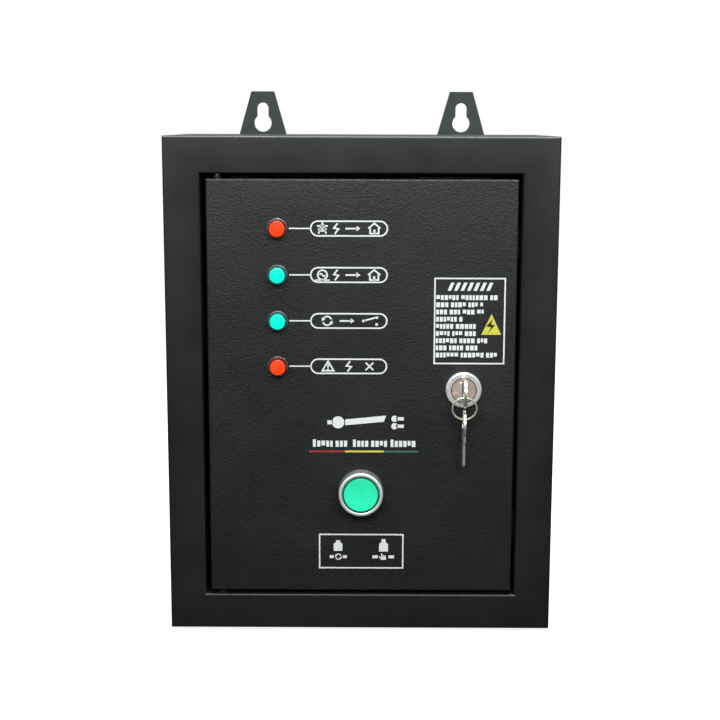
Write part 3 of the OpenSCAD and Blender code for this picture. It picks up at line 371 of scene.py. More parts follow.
def lit_cap(name, core, rim, glow, shadow):
    """The lit push button: a glowing face, a shadowed ring, and a slow change of tone down the face."""
    material, tree, shader = new_material(name)
    x, height = middle("button_cap")
    low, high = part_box("button_cap")
    face_radius = (high.x - low.x) / 2 / MM - 0.9
    split = add(tree, "ShaderNodeSeparateXYZ", {"Vector": add(tree, "ShaderNodeTexCoord").outputs["Object"]})
    down = spread(tree, split.outputs["Z"], high.z, low.z)
    drift = spread(tree, noise(tree, 6.0, 3.0), 0.3, 0.7, -0.12, 0.12)
    cloud = add(tree, "ShaderNodeMath", {0: down, 1: drift}, operation="ADD", use_clamp=True).outputs[0]
    face = mix_colour(tree, cloud, core, rim)
    inside = spread(tree, axis_distance(tree, x, height), face_radius + 0.15, face_radius - 0.35)
    share = add(tree, "ShaderNodeMath", {0: inside, 1: spread(tree, facing_front(tree), 0.3, 0.9)},
                operation="MULTIPLY").outputs[0]
    tone = mix_colour(tree, share, shadow, face)
    tree.links.new(mix_colour(tree, share, shadow, [0.3 * c for c in core]), shader.inputs["Base Color"])
    tree.links.new(tone, shader.inputs["Emission Color"])
    shader.inputs["Emission Strength"].default_value = glow
    tree.links.new(spread(tree, noise(tree, 3.0, 3.0), 0.3, 0.7, 0.26, 0.38), shader.inputs["Roughness"])
    bump(tree, shader, noise(tree, 0.7, 2.0), 0.01, 0.3)
    return material


def ink(name, tone, glow=0.0):
    """Screen print: slightly uneven, with a soft edge-to-edge tone."""
    material, tree, shader = new_material(name)
    worn = spread(tree, noise(tree, 1.2, 4.0, rough=0.7), 0.35, 0.75, 0.0, 0.25)
    tree.links.new(mix_colour(tree, worn, tone, [0.75 * c for c in tone]), shader.inputs["Base Color"])
    shader.inputs["Roughness"].default_value = 0.55
    bump(tree, shader, noise(tree, 0.45, 3.0, rough=0.6), 0.02, 0.4)
    return material


def make_materials():
    """One material for each of the record's material slots, and a darker copy of the chrome, with painted
    shade, for the lamps' rims.
    """
    return {
        "frame_paint": paint("frame_paint", [(0.009, 0.010, 0.010), (0.013, 0.014, 0.014)], 0.40, 0.9, 0.012),
        "door_paint": paint("door_paint", [(0.009, 0.0095, 0.009), (0.014, 0.0145, 0.014)], 0.44, 1.1, 0.40,
                            dust=0.03, painted_glint_share=0.10),
        "tab_paint": paint("tab_paint", [(0.024, 0.033, 0.033), (0.030, 0.039, 0.039)], 0.45, 0.8, 0.012,
                           dust=0.05, gloss=0.3),
        "zinc_steel": plated("zinc_steel", [(0.62, 0.63, 0.63), (0.80, 0.81, 0.82)], 0.32),
        "passivated_steel": plated("passivated_steel", [(0.66, 0.60, 0.45), (0.82, 0.76, 0.60)], 0.28, 1.2),
        "spring_steel": polished("spring_steel", (0.80, 0.78, 0.72), 0.24, 0.6),
        # side=0.20 paints shade on the bezel's sides, which face away from the door's front
        "bezel_metal": polished("bezel_metal", (0.84, 0.85, 0.84), 0.38, 0.5, side=0.20),
        "lock_chrome": polished("lock_chrome", (0.88, 0.88, 0.87), 0.24, 0.5),
        # the lamp rims' chrome, painted dark for the dark door it reflects, with painted shade on its sides
        "rim_chrome_painted_shade": polished("rim_chrome_painted_shade", (0.34, 0.34, 0.33), 0.22, 0.8, side=0.5),
        "core_metal": polished("core_metal", (0.80, 0.62, 0.55), 0.22, 0.5),
        "key_metal": polished("key_metal", (0.62, 0.58, 0.50), 0.26, 0.7),
        "earth_brass": plated("earth_brass", [(0.66, 0.48, 0.18), (0.84, 0.66, 0.30)], 0.25, 1.5),
        "rubber_black": plastic("rubber_black", [(0.018, 0.018, 0.018), (0.028, 0.028, 0.028)],
                                0.62, 0.5, 0.02),
        "contactor_black": plastic("contactor_black", [(0.022, 0.022, 0.024), (0.030, 0.030, 0.033)], 0.45),
        "contactor_grey": plastic("contactor_grey", [(0.055, 0.058, 0.064), (0.070, 0.073, 0.080)], 0.48),
        "body_black": plastic("body_black", [(0.016, 0.016, 0.016), (0.024, 0.024, 0.024)], 0.40),
        "strip_black": plastic("strip_black", [(0.012, 0.012, 0.012), (0.020, 0.020, 0.020)], 0.38),
        "armature_ivory": plastic("armature_ivory", [(0.62, 0.58, 0.46), (0.70, 0.67, 0.56)], 0.42, soft=0.1),
        "nylon_white": plastic("nylon_white", [(0.62, 0.61, 0.56), (0.70, 0.69, 0.65)], 0.40, soft=0.2),
        "contact_beige": plastic("contact_beige", [(0.48, 0.44, 0.36), (0.55, 0.51, 0.43)], 0.45),
        "board_green": plastic("board_green", [(0.004, 0.070, 0.024), (0.006, 0.095, 0.034)],
                               0.22, 2.0, 0.01),
        "relay_blue": plastic("relay_blue", [(0.012, 0.080, 0.300), (0.018, 0.105, 0.360)], 0.30),
        "transformer_yellow": plastic("transformer_yellow", [(0.58, 0.36, 0.03), (0.72, 0.47, 0.05)],
                                      0.35, 1.2),
        "connector_green": plastic("connector_green", [(0.010, 0.230, 0.080), (0.016, 0.290, 0.110)], 0.34),
        "capacitor_sleeve": plastic("capacitor_sleeve", [(0.012, 0.014, 0.030), (0.020, 0.022, 0.044)], 0.24),
        "lens_red": lit_lens("lens_red", (0.98, 0.070, 0.010), (0.95, 0.036, 0.004), 0.93,
                             (0.045, 0.002, 0.001)),
        "lens_green": lit_lens("lens_green", (0.002, 0.90, 0.70), (0.001, 0.83, 0.62), 0.90,
                               (0.001, 0.050, 0.040)),
        "button_green": lit_cap("button_green", (0.022, 0.62, 0.32), (0.028, 0.92, 0.54), 0.92,
                                (0.001, 0.10, 0.055)),
        "wire_brown": plastic("wire_brown", [(0.070, 0.024, 0.010), (0.095, 0.034, 0.014)], 0.30, 1.5, 0.01),
        "wire_black": plastic("wire_black", [(0.012, 0.012, 0.012), (0.020, 0.020, 0.020)], 0.30, 1.5, 0.01),
        "wire_blue": plastic("wire_blue", [(0.010, 0.045, 0.260), (0.014, 0.060, 0.330)], 0.30, 1.5, 0.01),
        "wire_earth": plastic("wire_earth", [(0.030, 0.260, 0.020), (0.045, 0.320, 0.026)], 0.30, 1.5, 0.01,
                              stripe=(0.66, 0.60, 0.02)),
        "wire_red": plastic("wire_red", [(0.420, 0.014, 0.010), (0.520, 0.020, 0.014)], 0.30, 1.5, 0.01),
        "harness_sleeve": plastic("harness_sleeve", [(0.010, 0.010, 0.010), (0.030, 0.030, 0.030)],
                                  0.6, 0.8, 0.15),
        "print_white": ink("print_white", (0.86, 0.86, 0.85)),
        "print_red": ink("print_red", (0.38, 0.030, 0.022)),
        "print_yellow": ink("print_yellow", (0.72, 0.66, 0.07)),
        "print_green": ink("print_green", (0.045, 0.150, 0.110)),
    }


# ---------- CAD nodes ----------

EDGES = {"cabinet_shell": 0.25, "door_panel": 0.45, "hanging_tabs": 0.2, "key": 0.25, "spare_key": 0.25}
WIRES = ["mains_wires", "generator_wires", "load_wires", "earth_wire", "control_wires", "harness_trunk",
         "door_harness", "button_spring"]
# These keep the CAD model's own smooth faces.
TURNED = ["hinge_pins", "hinge_washers", "hinge_bushes", "cable_grommets", "plate_studs", "plate_nuts",
          "rail_screws", "contactor_screws", "strip_screws", "board_capacitors", "board_standoffs",
          "earth_stud", "lamp_bodies", "lamp_nuts", "button_body", "button_nut", "button_bezel",
          "button_cap", "lock_housing", "lock_nut", "lock_core", "lock_cam_screw", "key_ring",
          "red_lamp_lenses", "green_lamp_lenses", "lamp_bezels"]


def clean_mesh(piece):
    """A weld that joins a CAD node's split corners, and smooth shading."""
    weld = piece.modifiers.new("weld", "WELD")
    weld.merge_threshold = 0.002 * MM
    if piece.data.attributes.get("custom_normal"):
        piece.data.attributes.remove(piece.data.attributes["custom_normal"])
    piece.data.shade_smooth()


def round_edges(piece, width):
    """Gives a CAD node small rounded edges, as a moulding or a cut sheet has."""
    clean_mesh(piece)
    flat = piece.modifiers.new("flat", "DECIMATE")
    flat.decimate_type = "DISSOLVE"
    flat.angle_limit = math.radians(0.6)
    edge = piece.modifiers.new("edge", "BEVEL")
    edge.width = width * MM
    edge.segments = 2
    edge.limit_method = "ANGLE"
    edge.angle_limit = math.radians(32)
    edge.harden_normals = True


def finish_nodes(materials):
    slots = {s["node"]: s["material_slot"] for s in frame["record"]["subparts"]}
    for name, piece in nodes.items():
        for s in piece.material_slots:
            s.material = materials[slots[name]]
        if name in WIRES:
            clean_mesh(piece)
            piece.modifiers.new("round", "SUBSURF").render_levels = 2
        elif name not in TURNED:
            round_edges(piece, EDGES.get(name, 0.15))


def copy_mesh(name, node):
    """A new object with a CAD node's mesh, its split corners joined."""
    bm = bmesh.new()
    bm.from_mesh(nodes[node].data)
    bmesh.ops.remove_doubles(bm, verts=bm.verts, dist=0.002 * MM)
    for face in bm.faces:
        face.smooth = True
    return link_mesh(name, bm)


def make_harness_loop(materials):
    """A smoothed copy of the braided loop."""
    loop = copy_mesh("harness_bend", "harness_loop")
    loop.data.materials.append(materials["harness_sleeve"])
    loop.modifiers.new("round", "SUBSURF").render_levels = 2
    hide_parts("harness_loop")
    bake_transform(loop)


# ---------- Turned pieces ----------

def softened(points):
    """Rounds the corners of a profile; each point is (radius, proud, rounding), in millimetres."""
    out = []
    for i, (radius, proud, rounding) in enumerate(points):
        corner = Vector((radius, proud))
        if rounding == 0:
            out.append(corner)
            continue
        before = Vector(points[i - 1][:2])
        after = Vector(points[(i + 1) % len(points)][:2])
        a = corner + (before - corner).normalized() * rounding
        b = corner + (after - corner).normalized() * rounding
        for k in range(6):
            t = k / 5
            out.append(a * (1 - t) ** 2 + corner * 2 * t * (1 - t) + b * t * t)
    return out


def lathe(bm, x, height, profile, steps=96, ring=False, notches=(), notch_half=0.0, notch_depth=0.0):
    """Turns a profile of (radius, proud) points about an axis out of the door at (x, height).

    A ring's profile closes on itself. Inside a notch, points prouder than the notch's floor are held down to
    it where they lie near the bore."""
    turns = [360 * i / steps for i in range(steps)]
    for at in notches:
        turns = [t for t in turns if abs((t - at + 180) % 360 - 180) > notch_half + 0.6]
        turns += [(at + d) % 360 for d in (-notch_half - 0.3, -notch_half, 0, notch_half, notch_half + 0.3)]
    turns.sort()
    top = max(p.y for p in profile)
    bore = min(p.x for p in profile)
    rows = []
    for t in turns:
        low = any(abs((t - at + 180) % 360 - 180) <= notch_half + 0.01 for at in notches)
        row = []
        for p in profile:
            proud = min(p.y, top - notch_depth) if low and p.x < bore + 1.4 else p.y
            turn = math.radians(t)
            row.append(bm.verts.new(spot(x + p.x * math.cos(turn), height + p.x * math.sin(turn), proud)))
        rows.append(row)
    n = len(profile)
    for i in range(len(rows)):
        a, b = rows[i], rows[(i + 1) % len(rows)]
        for k in range(n if ring else n - 1):
            j = (k + 1) % n
            bm.faces.new((a[k], a[j], b[j], b[k]))


def turned_piece(name, centres, profile, slot, body, materials, replaces=None, sharp=30, **settings):
    bm = bmesh.new()
    for x, height in centres:
        lathe(bm, x, height, profile, **settings)
    bmesh.ops.remove_doubles(bm, verts=bm.verts, dist=0.0005 * MM)
    bmesh.ops.dissolve_degenerate(bm, edges=bm.edges, dist=0.0001 * MM)
    bmesh.ops.recalc_face_normals(bm, faces=bm.faces)
    for face in bm.faces:
        face.smooth = True
    piece = link_mesh(name, bm)
    piece.data.set_sharp_from_angle(angle=math.radians(sharp))
    piece.data.materials.append(materials[slot])
    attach(piece, body)
    if replaces:
        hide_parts(replaces)
    return piece


def half_width(node):
    low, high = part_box(node)
    return (high.x - low.x) / 2 / MM


def proud_of_door(node):
    return (FRONT_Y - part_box(node)[0].y) / MM


def lamp_centres(node):
    """The lamps of a node that holds two or four of them, spaced evenly from its lowest to its highest."""
    low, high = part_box(node)
    r = half_width(node)
    x = (low.x + high.x) / 2 / MM
    return x, (low.z - FOOT_Z) / MM + r, (high.z - FOOT_Z) / MM - r


def make_lamps(materials):
    x, first, last = lamp_centres("lamp_bezels")
    heights = [first + (last - first) * i / 3 for i in range(4)]
    r = half_width("red_lamp_lenses")
    h = proud_of_door("red_lamp_lenses")
    dome = [(0, h, 0), ((r - 1.0) * 0.5, h - 0.06, 0), (r - 0.95, h - 0.25, 0.45), (r - 0.05, 1.6, 0.15),
            (r, 0.8, 0), (0, 0.8, 0)]
    lens = softened(dome)
    turned_piece("red_lenses", [(x, heights[0]), (x, heights[3])], lens, "lens_red", "door", materials,
                 "red_lamp_lenses")
    turned_piece("green_lenses", [(x, heights[1]), (x, heights[2])], lens, "lens_green", "door", materials,
                 "green_lamp_lenses")
    outer = half_width("lamp_bezels")
    rim = softened([(r + 0.05, 0, 0), (r + 0.05, 1.5, 0.12), (outer, 1.5, 0.2), (outer, 0, 0)])
    rims = turned_piece("lamp_rims", [(x, h) for h in heights], rim, "lock_chrome", "door", materials,
                        "lamp_bezels", ring=True)
    # the rims take the darker chrome: painted shade in place of the dark door they reflect
    rims.data.materials[0] = materials["rim_chrome_painted_shade"]


def make_button(materials):
    x, height = middle("button_bezel")
    outer = half_width("button_bezel")
    top = proud_of_door("button_bezel")
    skirt = half_width("button_cap")
    bore = skirt + 0.2
    barrel = 11.05
    rim = softened([(bore, 1.5, 0), (bore, top - 0.4, 0.2), (bore + 0.45, top, 0.3), (outer - 0.3, top, 1.3),
                    (outer, 3.0, 0), (outer, 0, 0.1), (barrel, 0, 0), (barrel, 1.5, 0)])
    turned_piece("button_rim", [(x, height)], rim, "bezel_metal", "door", materials, "button_bezel", sharp=35,
                 ring=True, notches=(20, 200), notch_half=5.0, notch_depth=1.2)
    face = skirt - 0.8
    crown = proud_of_door("button_cap")
    skirt_end, stem, stem_end, wall = 6.2, 9.2, -9.0, 1.5
    cap = softened([(0, crown, 0), (face * 0.6, crown - 0.05, 0), (face - 0.1, crown - 0.12, 0.6),
                    (face, crown - 1.7, 0), (skirt, crown - 1.7, 0.15), (skirt, skirt_end, 0),
                    (stem, skirt_end, 0), (stem, stem_end, 0.2), (stem - wall, stem_end, 0.2),
                    (stem - wall, skirt_end - 1, 0), (0, skirt_end - 1, 0)])
    turned_piece("button_face", [(x, height)], cap, "button_green", "button", materials, "button_cap")


def make_lock(materials):
    """A thin dark ring, painted shadow in the line where the core turns in the lock's face, and the two
    raised lips beside the keyway.
    """
    x, height = middle("lock_core")
    core = half_width("lock_core")
    face = proud_of_door("lock_housing")
    # a thin black ring set just proud of the face: painted shadow in the gap around the core
    gap = [Vector(p) for p in ((core, face - 0.3), (core, face + 0.03), (core + 0.4, face + 0.03),
                               (core + 0.4, face - 0.3))]
    turned_piece("lock_gap_painted_shadow", [(x, height)], gap, "body_black", "door", materials, ring=True)
    front = proud_of_door("lock_core")
    lips = []
    for side in (-1, 1):
        inner, outer, half = side * 1.35, side * 2.45, 5.4
        lips.append([(x + inner, height - half), (x + outer, height - half + 0.5),
                     (x + outer, height + half - 0.5), (x + inner, height + half)])
    piece = print_piece("keyway_lips", "lock_chrome", materials, lips, front + 1.3, base=front - 0.2,
                        body="lock_core")
    edge = piece.modifiers.new("edge", "BEVEL")
    edge.width = 0.22 * MM
    edge.segments = 3


# ---------- Print on the door ----------

def print_piece(name, slot, materials, shapes, thick=0.06, base=0.0, body="door"):
    """Flat ink or a low raised shape, from base to thick proud of the door. Each shape is a list of
    (x, height) corners."""
    bm = bmesh.new()
    for shape in shapes:
        corners = [bm.verts.new(spot(x, h, thick)) for x, h in shape]
        bm.faces.new(corners)
    bmesh.ops.remove_doubles(bm, verts=bm.verts, dist=0.001 * MM)
    bmesh.ops.recalc_face_normals(bm, faces=bm.faces)
    for face in bm.faces:
        if face.normal.y > 0:
            face.normal_flip()
    walls = bmesh.ops.extrude_face_region(bm, geom=bm.faces[:])
    moved = [v for v in walls["geom"] if isinstance(v, bmesh.types.BMVert)]
    bmesh.ops.translate(bm, verts=moved, vec=(0, (thick - base) * MM, 0))
    bmesh.ops.recalc_face_normals(bm, faces=bm.faces)
    piece = link_mesh(name, bm)
    piece.data.materials.append(materials[slot])
    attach(piece, body)
    return piece


def line(points, width, closed=False):
    """A drawn line of that width through the points, as quads with mitred corners."""
    n = len(points)
    p = [Vector(q) for q in points]
    sides = []
    for i in range(n):
        before = p[i] - p[i - 1] if closed or i > 0 else p[1] - p[0]
        after = p[(i + 1) % n] - p[i] if closed or i < n - 1 else p[-1] - p[-2]
        a = Vector((-before.y, before.x)).normalized()
        b = Vector((-after.y, after.x)).normalized()
        mitre = (a + b).normalized()
        sides.append(mitre * (width / 2 / max(mitre.dot(b), 0.3)))
    count = n if closed else n - 1
    quads = []
    for i in range(count):
        j = (i + 1) % n
        quads.append([tuple(p[i] + sides[i]), tuple(p[j] + sides[j]), tuple(p[j] - sides[j]),
                      tuple(p[i] - sides[i])])
    return quads


def arc_points(cx, cy, r, start, end, steps=12):
    """Points on an arc, angles in degrees."""
    turn = [math.radians(start + (end - start) * i / steps) for i in range(steps + 1)]
    return [(cx + r * math.cos(t), cy + r * math.sin(t)) for t in turn]


def disc(cx, cy, r, steps=20):
    return [arc_points(cx, cy, r, 0, 360, steps)[:-1]]


def block(x0, y0, x1, y1):
    return [[(x0, y0), (x1, y0), (x1, y1), (x0, y1)]]


def pill_outline(x0, x1, y, half, width):
    """A box with round ends, drawn with a line; x0 to x1 is measured outside the line."""
    r = half - width / 2
    right = arc_points(x1 - half, y, r, -90, 90)
    left = arc_points(x0 + half, y, r, 90, 270)
    return line(right + left, width, closed=True)


def box_outline(x0, y0, x1, y1, width):
    w = width / 2
    return line([(x0 + w, y0 + w), (x1 - w, y0 + w), (x1 - w, y1 - w), (x0 + w, y1 - w)], width, closed=True)


def shifted(shapes, x, y, size=1.0):
    return [[(x + size * a, y + size * b) for a, b in shape] for shape in shapes]


def arrow(x0, x1, y, width, head):
    """A straight arrow that points right."""
    return (line([(x0, y), (x1 - head, y)], width)
            + [[(x1 - 1.3 * head, y + head), (x1 - 1.3 * head, y - head), (x1, y)]])


def house(width):
    return (line([(-3.9, 0.1), (0, 3.3), (3.9, 0.1)], width)
            + line([(-2.7, 0.6), (-2.7, -3.1), (2.7, -3.1), (2.7, 0.6)], width)
            + block(-0.7, -3.1, 0.7, -0.7))


def pylon(width):
    return (line([(-2.4, -3.3), (0, 3.4), (2.4, -3.3)], width) + line([(-3.4, 1.6), (3.4, 1.6)], width)
            + line([(-2.8, -0.4), (2.8, -0.4)], width) + line([(-1.9, -1.6), (1.9, -1.6)], width * 0.8))


def machine(width):
    wave = [(-1.9 + 3.8 * i / 12, 0.9 * math.sin(2 * math.pi * i / 12)) for i in range(13)]
    return (line(arc_points(0, 0, 3.0, 0, 360, 28)[:-1], width, closed=True) + line(wave, width * 0.85)
            + line([(-4.6, -3.3), (4.6, -3.3)], width * 0.8))


def changeover(width):
    """A contact with a blade that reaches one of two others."""
    return (disc(-4.4, 0, 0.9) + line([(-4.0, 0.2), (3.0, 2.1)], width) + disc(4.1, 2.2, 0.9)
            + disc(4.1, -2.2, 0.9))


def turning(radius, width):
    """Two arrows that chase each other round a circle."""
    shapes = []
    for start in (20, 200):
        shapes += line(arc_points(0, 0, radius, start, start + 125, 10), width)
        turn = math.radians(start + 125)
        tip = Vector((math.cos(turn), math.sin(turn))) * radius
        ahead = Vector((-math.sin(turn), math.cos(turn)))
        out = Vector((math.cos(turn), math.sin(turn)))
        corners = (tip + out * width * 1.3, tip + ahead * width * 2.2, tip - out * width * 1.3)
        shapes.append([tuple(corner) for corner in corners])
    return shapes


def fault(width):
    return (line([(-3.7, -2.9), (0, 3.3), (3.7, -2.9)], width, closed=True) + block(-0.5, -1.0, 0.5, 1.4)
            + disc(0, -1.9, 0.55, 10))


def cross(width):
    return line([(-2.5, -2.5), (2.5, 2.5)], width) + line([(-2.5, 2.5), (-0.4, 0.4)], width) + line(
        [(0.4, -0.4), (2.5, -2.5)], width)


def zigzag(width):
    return line([(0.9, 3.4), (-1.5, 0.3), (1.5, -0.3), (-0.9, -3.4)], width)


def blank_words(x0, x1, y, height, rng, cell=2.3, gap=0.55):
    """A row of plain blocks in word-like groups: it stands in for printed words and holds no letters."""
    shapes = []
    x = x0
    left = rng.randint(3, 6)
    while x + cell * 0.7 < x1:
        wide = min(cell * rng.choice((0.75, 0.9, 1.0, 1.15)), x1 - x)
        low = rng.choice((0, 0, 0, 0.22)) * height
        shapes += block(x, y - height / 2 + low, x + wide, y + height / 2)
        x += wide + gap
        left -= 1
        if left == 0:
            x += cell * 0.55
            left = rng.randint(3, 7)
    return shapes


def make_lamp_labels(materials):
    """A rounded box beside each lamp, joined to it by a line, with small pictures in place of words."""
    x, first, last = lamp_centres("lamp_bezels")
    outer = half_width("lamp_bezels")
    left, right, half, width = -32.4, 17.0, 5.1, 0.95
    thin = 1.0
    pointer = arrow(-4.6, 4.8, 0, thin, 1.8)
    rows = [
        [(fault(thin), -21.0), (zigzag(thin), -7.7), (cross(thin), 5.6)],
        [(turning(2.8, thin), -21.5), (pointer, -9.0), (changeover(thin), 6.0)],
        [(machine(thin), -24.5), (zigzag(thin), -15.8), (pointer, -5.4), (house(thin), 8.3)],
        [(pylon(thin), -24.5), (zigzag(thin), -15.8), (pointer, -5.4), (house(thin), 8.3)],
    ]
    outlines, pictures = [], []
    for i, row in enumerate(rows):
        h = first + (last - first) * i / 3
        outlines += pill_outline(left, right, h, half, width)
        outlines += line([(x + outer + 0.9, h), (left + 0.3, h)], 0.85)
        for shapes, at in row:
            pictures += shifted(shapes, at, h)
    print_piece("lamp_label_lines", "print_white", materials, outlines)
    print_piece("lamp_label_pictures", "print_white", materials, pictures)


def make_title(materials):
    """A bold changeover sign, a row of blank words and a three-coloured line."""
    low, high, x0, x1 = 134.9, 144.0, -18.5, 26.3
    mid = (low + high) / 2
    sign = disc(x0 + 4.0, mid, 4.0, 32)
    sign += [[(x0 + 8.6, mid - 1.9), (x0 + 33.5, mid + 0.5), (x0 + 35.0, high), (x0 + 8.6, mid + 1.9)]]
    sign += disc(x1 - 4.4, high - 2.1, 2.1, 24) + disc(x1 - 4.4, low + 2.1, 2.1, 24)
    sign += block(x1 - 3.4, high - 3.2, x1 + 1.6, high - 1.0)
    sign += block(x1 - 3.4, low + 1.0, x1 + 1.6, low + 3.2)
    sign += block(x0 - 3.0, mid - 1.3, x0 + 0.6, mid + 1.3)
    print_piece("title_sign", "print_white", materials, sign)
    rng = random.Random(4)
    words = []
    for start, end in ((-30.8, -7.2), (-4.9, 17.2), (19.4, 36.2)):
        words += block(start, 123.2, start + 1.9, 128.1)
        words += blank_words(start + 2.7, end, 125.3, 4.0, rng, 2.1, 0.7)
    print_piece("title_words", "print_white", materials, words)
    y0, y1 = 119.6, 120.8
    for slot, start, end in (("print_red", -33.2, -10.0), ("print_yellow", -10.0, 15.05),
                             ("print_green", 15.05, 37.4)):
        print_piece("title_" + slot[6:], slot, materials, block(start, y0, end, y1))


def make_button_label(materials):
    """The box under the button: pressed in means automatic, and standing out means by hand."""
    shapes = box_outline(-27.1, 41.2, 28.4, 64.8, 0.9)
    for left, right, low, top in ((-17.4, -11.7, 53.2, 60.4), (12.4, 18.2, 52.8, 61.3)):
        mid = (left + right) / 2
        shapes += block(left, low, right, 58.3) + block(mid - 1.35, 58.3, mid + 1.35, top)
        shapes += block(mid - 2.0, 58.3, mid - 1.35, 58.9) + block(mid + 1.35, 58.3, mid + 2.0, 58.9)
    shapes += shifted(turning(1.75, 0.7), -14.3, 49.2)
    shapes += block(-20.0, 48.2, -17.4, 50.2) + block(-11.3, 48.2, -8.7, 50.2)
    # a hand that points up
    shapes += shifted(block(-1.7, -2.0, 1.7, 0.2) + block(-1.5, 0.4, -0.6, 2.3) + block(-0.3, 0.4, 0.5, 1.2)
                      + block(0.8, 0.4, 1.6, 1.0) + block(-2.6, -1.1, -1.9, 0.5), 15.2, 49.2)
    shapes += block(8.0, 48.2, 11.6, 50.2) + block(18.6, 48.2, 22.2, 50.2)
    print_piece("button_label", "print_white", materials, shapes)


def make_warning_label(materials):
    """A framed notice: a striped band, blank words, and a yellow triangle with a black bolt."""
    left, right, low, high = 46.5, 92.0, 177.8, 233.5
    shapes = box_outline(left, low, right, high, 0.95)
    band_low, band_high, lean = 225.2, 230.4, 2.2
    for i in range(7):
        x = 55.0 + 4.1 * i
        shapes.append([(x, band_low), (x + 2.2, band_low), (x + 2.2 + lean, band_high),
                       (x + lean, band_high)])
    rng = random.Random(11)
    for i, end in enumerate((87.7, 77.6, 78.2, 64.9, 74.0, 74.6, 82.2, 74.5, 88.6)):
        shapes += blank_words(47.9, end, 220.8 - 4.63 * i, 3.1, rng, 2.0, 0.55)
    print_piece("warning_lines", "print_white", materials, shapes)
    apex, foot_left, foot_right = (83.3, 210.8), (76.5, 196.8), (89.9, 196.8)
    print_piece("warning_triangle", "print_yellow", materials, [[apex, foot_left, foot_right]], 0.06)
    bolt = [[(84.2, 207.2), (79.9, 202.4), (82.6, 202.6)], [(84.2, 207.2), (82.6, 202.6), (83.0, 203.6)],
            [(79.9, 202.4), (83.0, 203.6), (85.4, 203.2)], [(79.9, 202.4), (85.4, 203.2), (83.0, 201.8)],
            [(83.0, 201.8), (85.4, 203.2), (80.9, 197.4)]]
    print_piece("warning_bolt", "body_black", materials, bolt, 0.1)
    edge = line([apex, foot_left, foot_right], 0.35, closed=True)
    print_piece("warning_edge", "body_black", materials, edge, 0.1)


def make_prints(materials):
    make_lamp_labels(materials)
    make_title(materials)
    make_button_label(materials)
    make_warning_label(materials)


# ---------- Small parts inside ----------

def blocks(name, slot, materials, boxes, edge=0.15):
    """Small moulded parts in the cabinet, with rounded edges. Each box is (x0, x1, y0, y1, z0, z1) in the row
    frame, in millimetres."""
    bm = bmesh.new()
    for x0, x1, y0, y1, z0, z1 in boxes:
        made = bmesh.ops.create_cube(bm, size=1.0)["verts"]
        size = Vector((x1 - x0, y1 - y0, z1 - z0)) * MM
        centre = Vector((x0 + x1, y0 + y1, z0 + z1)) * MM / 2
        for v in made:
            v.co = Vector(a * b for a, b in zip(v.co, size)) + centre
    piece = link_mesh(name, bm)
    bevel = piece.modifiers.new("edge", "BEVEL")
    bevel.width = edge * MM
    bevel.segments = 2
    bevel.harden_normals = True
    piece.data.shade_smooth()
    piece.data.materials.append(materials[slot])
    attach(piece, "cabinet")
    return piece


def make_contactor_details(materials):
    """A blank name plate in its recess and a row of ribs on each contactor's cover."""
    plates, ribs = [], []
    for node in ("mains_contactor_cover", "generator_contactor_cover"):
        low, high = (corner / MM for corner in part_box(node))
        x, z, front = (low.x + high.x) / 2, (low.z + high.z) / 2, low.y
        plates.append((x - 16.2, x + 16.2, front + 0.02, front + 0.4, z - 13.8, z - 9.2))
        for side in (-1, 1):
            rib_x = x + side * 8.2
            ribs += [(rib_x - 6.0, rib_x + 6.0, front - 0.5, front + 0.1, z + at, z + at + 1.2)
                     for at in (12.0, 14.2, 16.4)]
    blocks("contactor_name_plates", "nylon_white", materials, plates, 0.1)
    blocks("contactor_ribs", "contactor_grey", materials, ribs, 0.25)


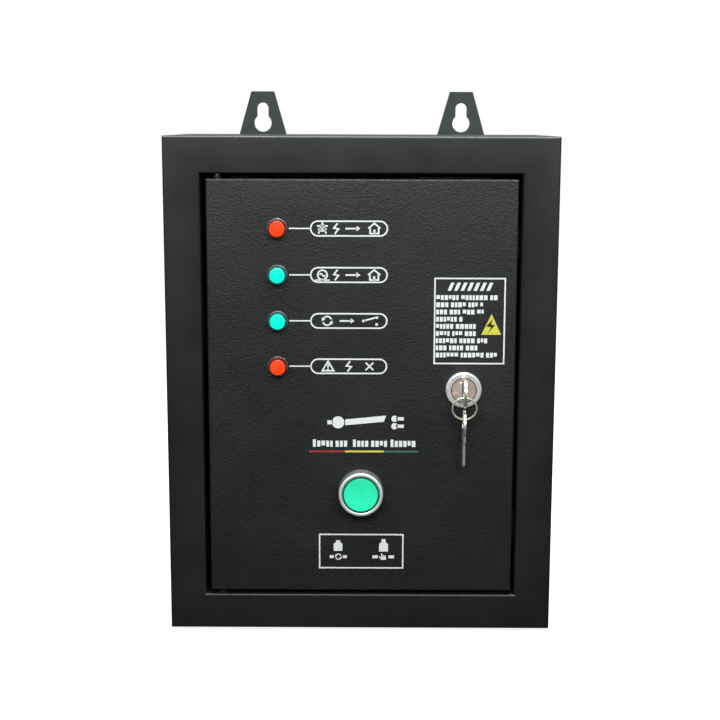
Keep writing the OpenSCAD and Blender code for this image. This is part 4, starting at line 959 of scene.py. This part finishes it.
def make_board_details(materials):
    """The board's small parts: a chip on its legs, resistors with their leads, and copper traces."""
    low, high = (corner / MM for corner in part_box("control_board"))
    face, right, top = low.y, high.x, high.z
    chip_x, chip_z = right - 22.0, top - 17.0
    chip = (chip_x - 8.0, chip_x + 8.0, face - 3.4, face - 0.6, chip_z - 3.2, chip_z + 3.2)
    blocks("board_chip", "body_black", materials, [chip], 0.2)
    legs = []
    for i in range(7):
        x = chip_x - 6.6 + 2.2 * i
        for side in (-1, 1):
            z = chip_z + side * 3.6
            legs.append((x - 0.25, x + 0.25, face - 2.0, face + 0.1, z - 0.45, z + 0.45))
    bodies, bands = [], []
    for i in range(5):
        z = top - 28.0 - 3.6 * i
        bodies.append((right - 13.0, right - 7.0, face - 2.6, face - 0.6, z - 1.0, z + 1.0))
        bands += [(right - 12.2 + 1.3 * k, right - 11.7 + 1.3 * k, face - 2.65, face - 0.6, z - 1.05,
                   z + 1.05) for k in range(4)]
        legs.append((right - 15.0, right - 5.0, face - 1.8, face - 1.4, z - 0.2, z + 0.2))
        legs += [(x - 0.2, x + 0.2, face - 1.8, face + 0.1, z - 0.2, z + 0.2)
                 for x in (right - 15.0, right - 5.0)]
    blocks("board_legs", "zinc_steel", materials, legs, 0.08)
    blocks("board_resistors", "contact_beige", materials, bodies, 0.6)
    blocks("board_resistor_bands", "wire_brown", materials, bands, 0.1)
    traces = []
    for i in range(6):
        z = top - 7.0 - 1.5 * i
        end = right - 30.0 - 2.0 * i
        traces.append((low.x + 50.0 + 3.0 * i, end, face - 0.06, face + 0.02, z - 0.3, z + 0.3))
        traces.append((end - 0.6, end, face - 0.06, face + 0.02, z - 6.0, z))
    for i in range(5):
        x = right - 5.0 + 0.7 * i
        traces.append((x - 0.2, x + 0.2, face - 0.06, face + 0.02, low.z + 12.0, top - 26.0 - 3.6 * i))
    blocks("board_traces", "print_green", materials, traces, 0.02)


# ---------- The scene ----------

bpy.context.scene.view_settings.view_transform = "Standard"
make_camera()
make_world()
make_floor()
make_area_light("overhead", (0.0, -0.10, 1.0), (0, -0.1, -0.15), (1.6, 0.9), 7.5, COOL)
make_area_light("front", (0.05, -1.25, 0.62), (0, -0.14, -0.08), (1.3, 0.34), 17, COOL)
make_area_light("top_edge", (0.0, -0.19, 0.9), (0, -0.14, -0.1), (0.9, 0.2), 20, COOL)
materials = make_materials()
finish_nodes(materials)
make_harness_loop(materials)
make_lamps(materials)
make_button(materials)
make_lock(materials)
make_prints(materials)
make_contactor_details(materials)
make_board_details(materials)
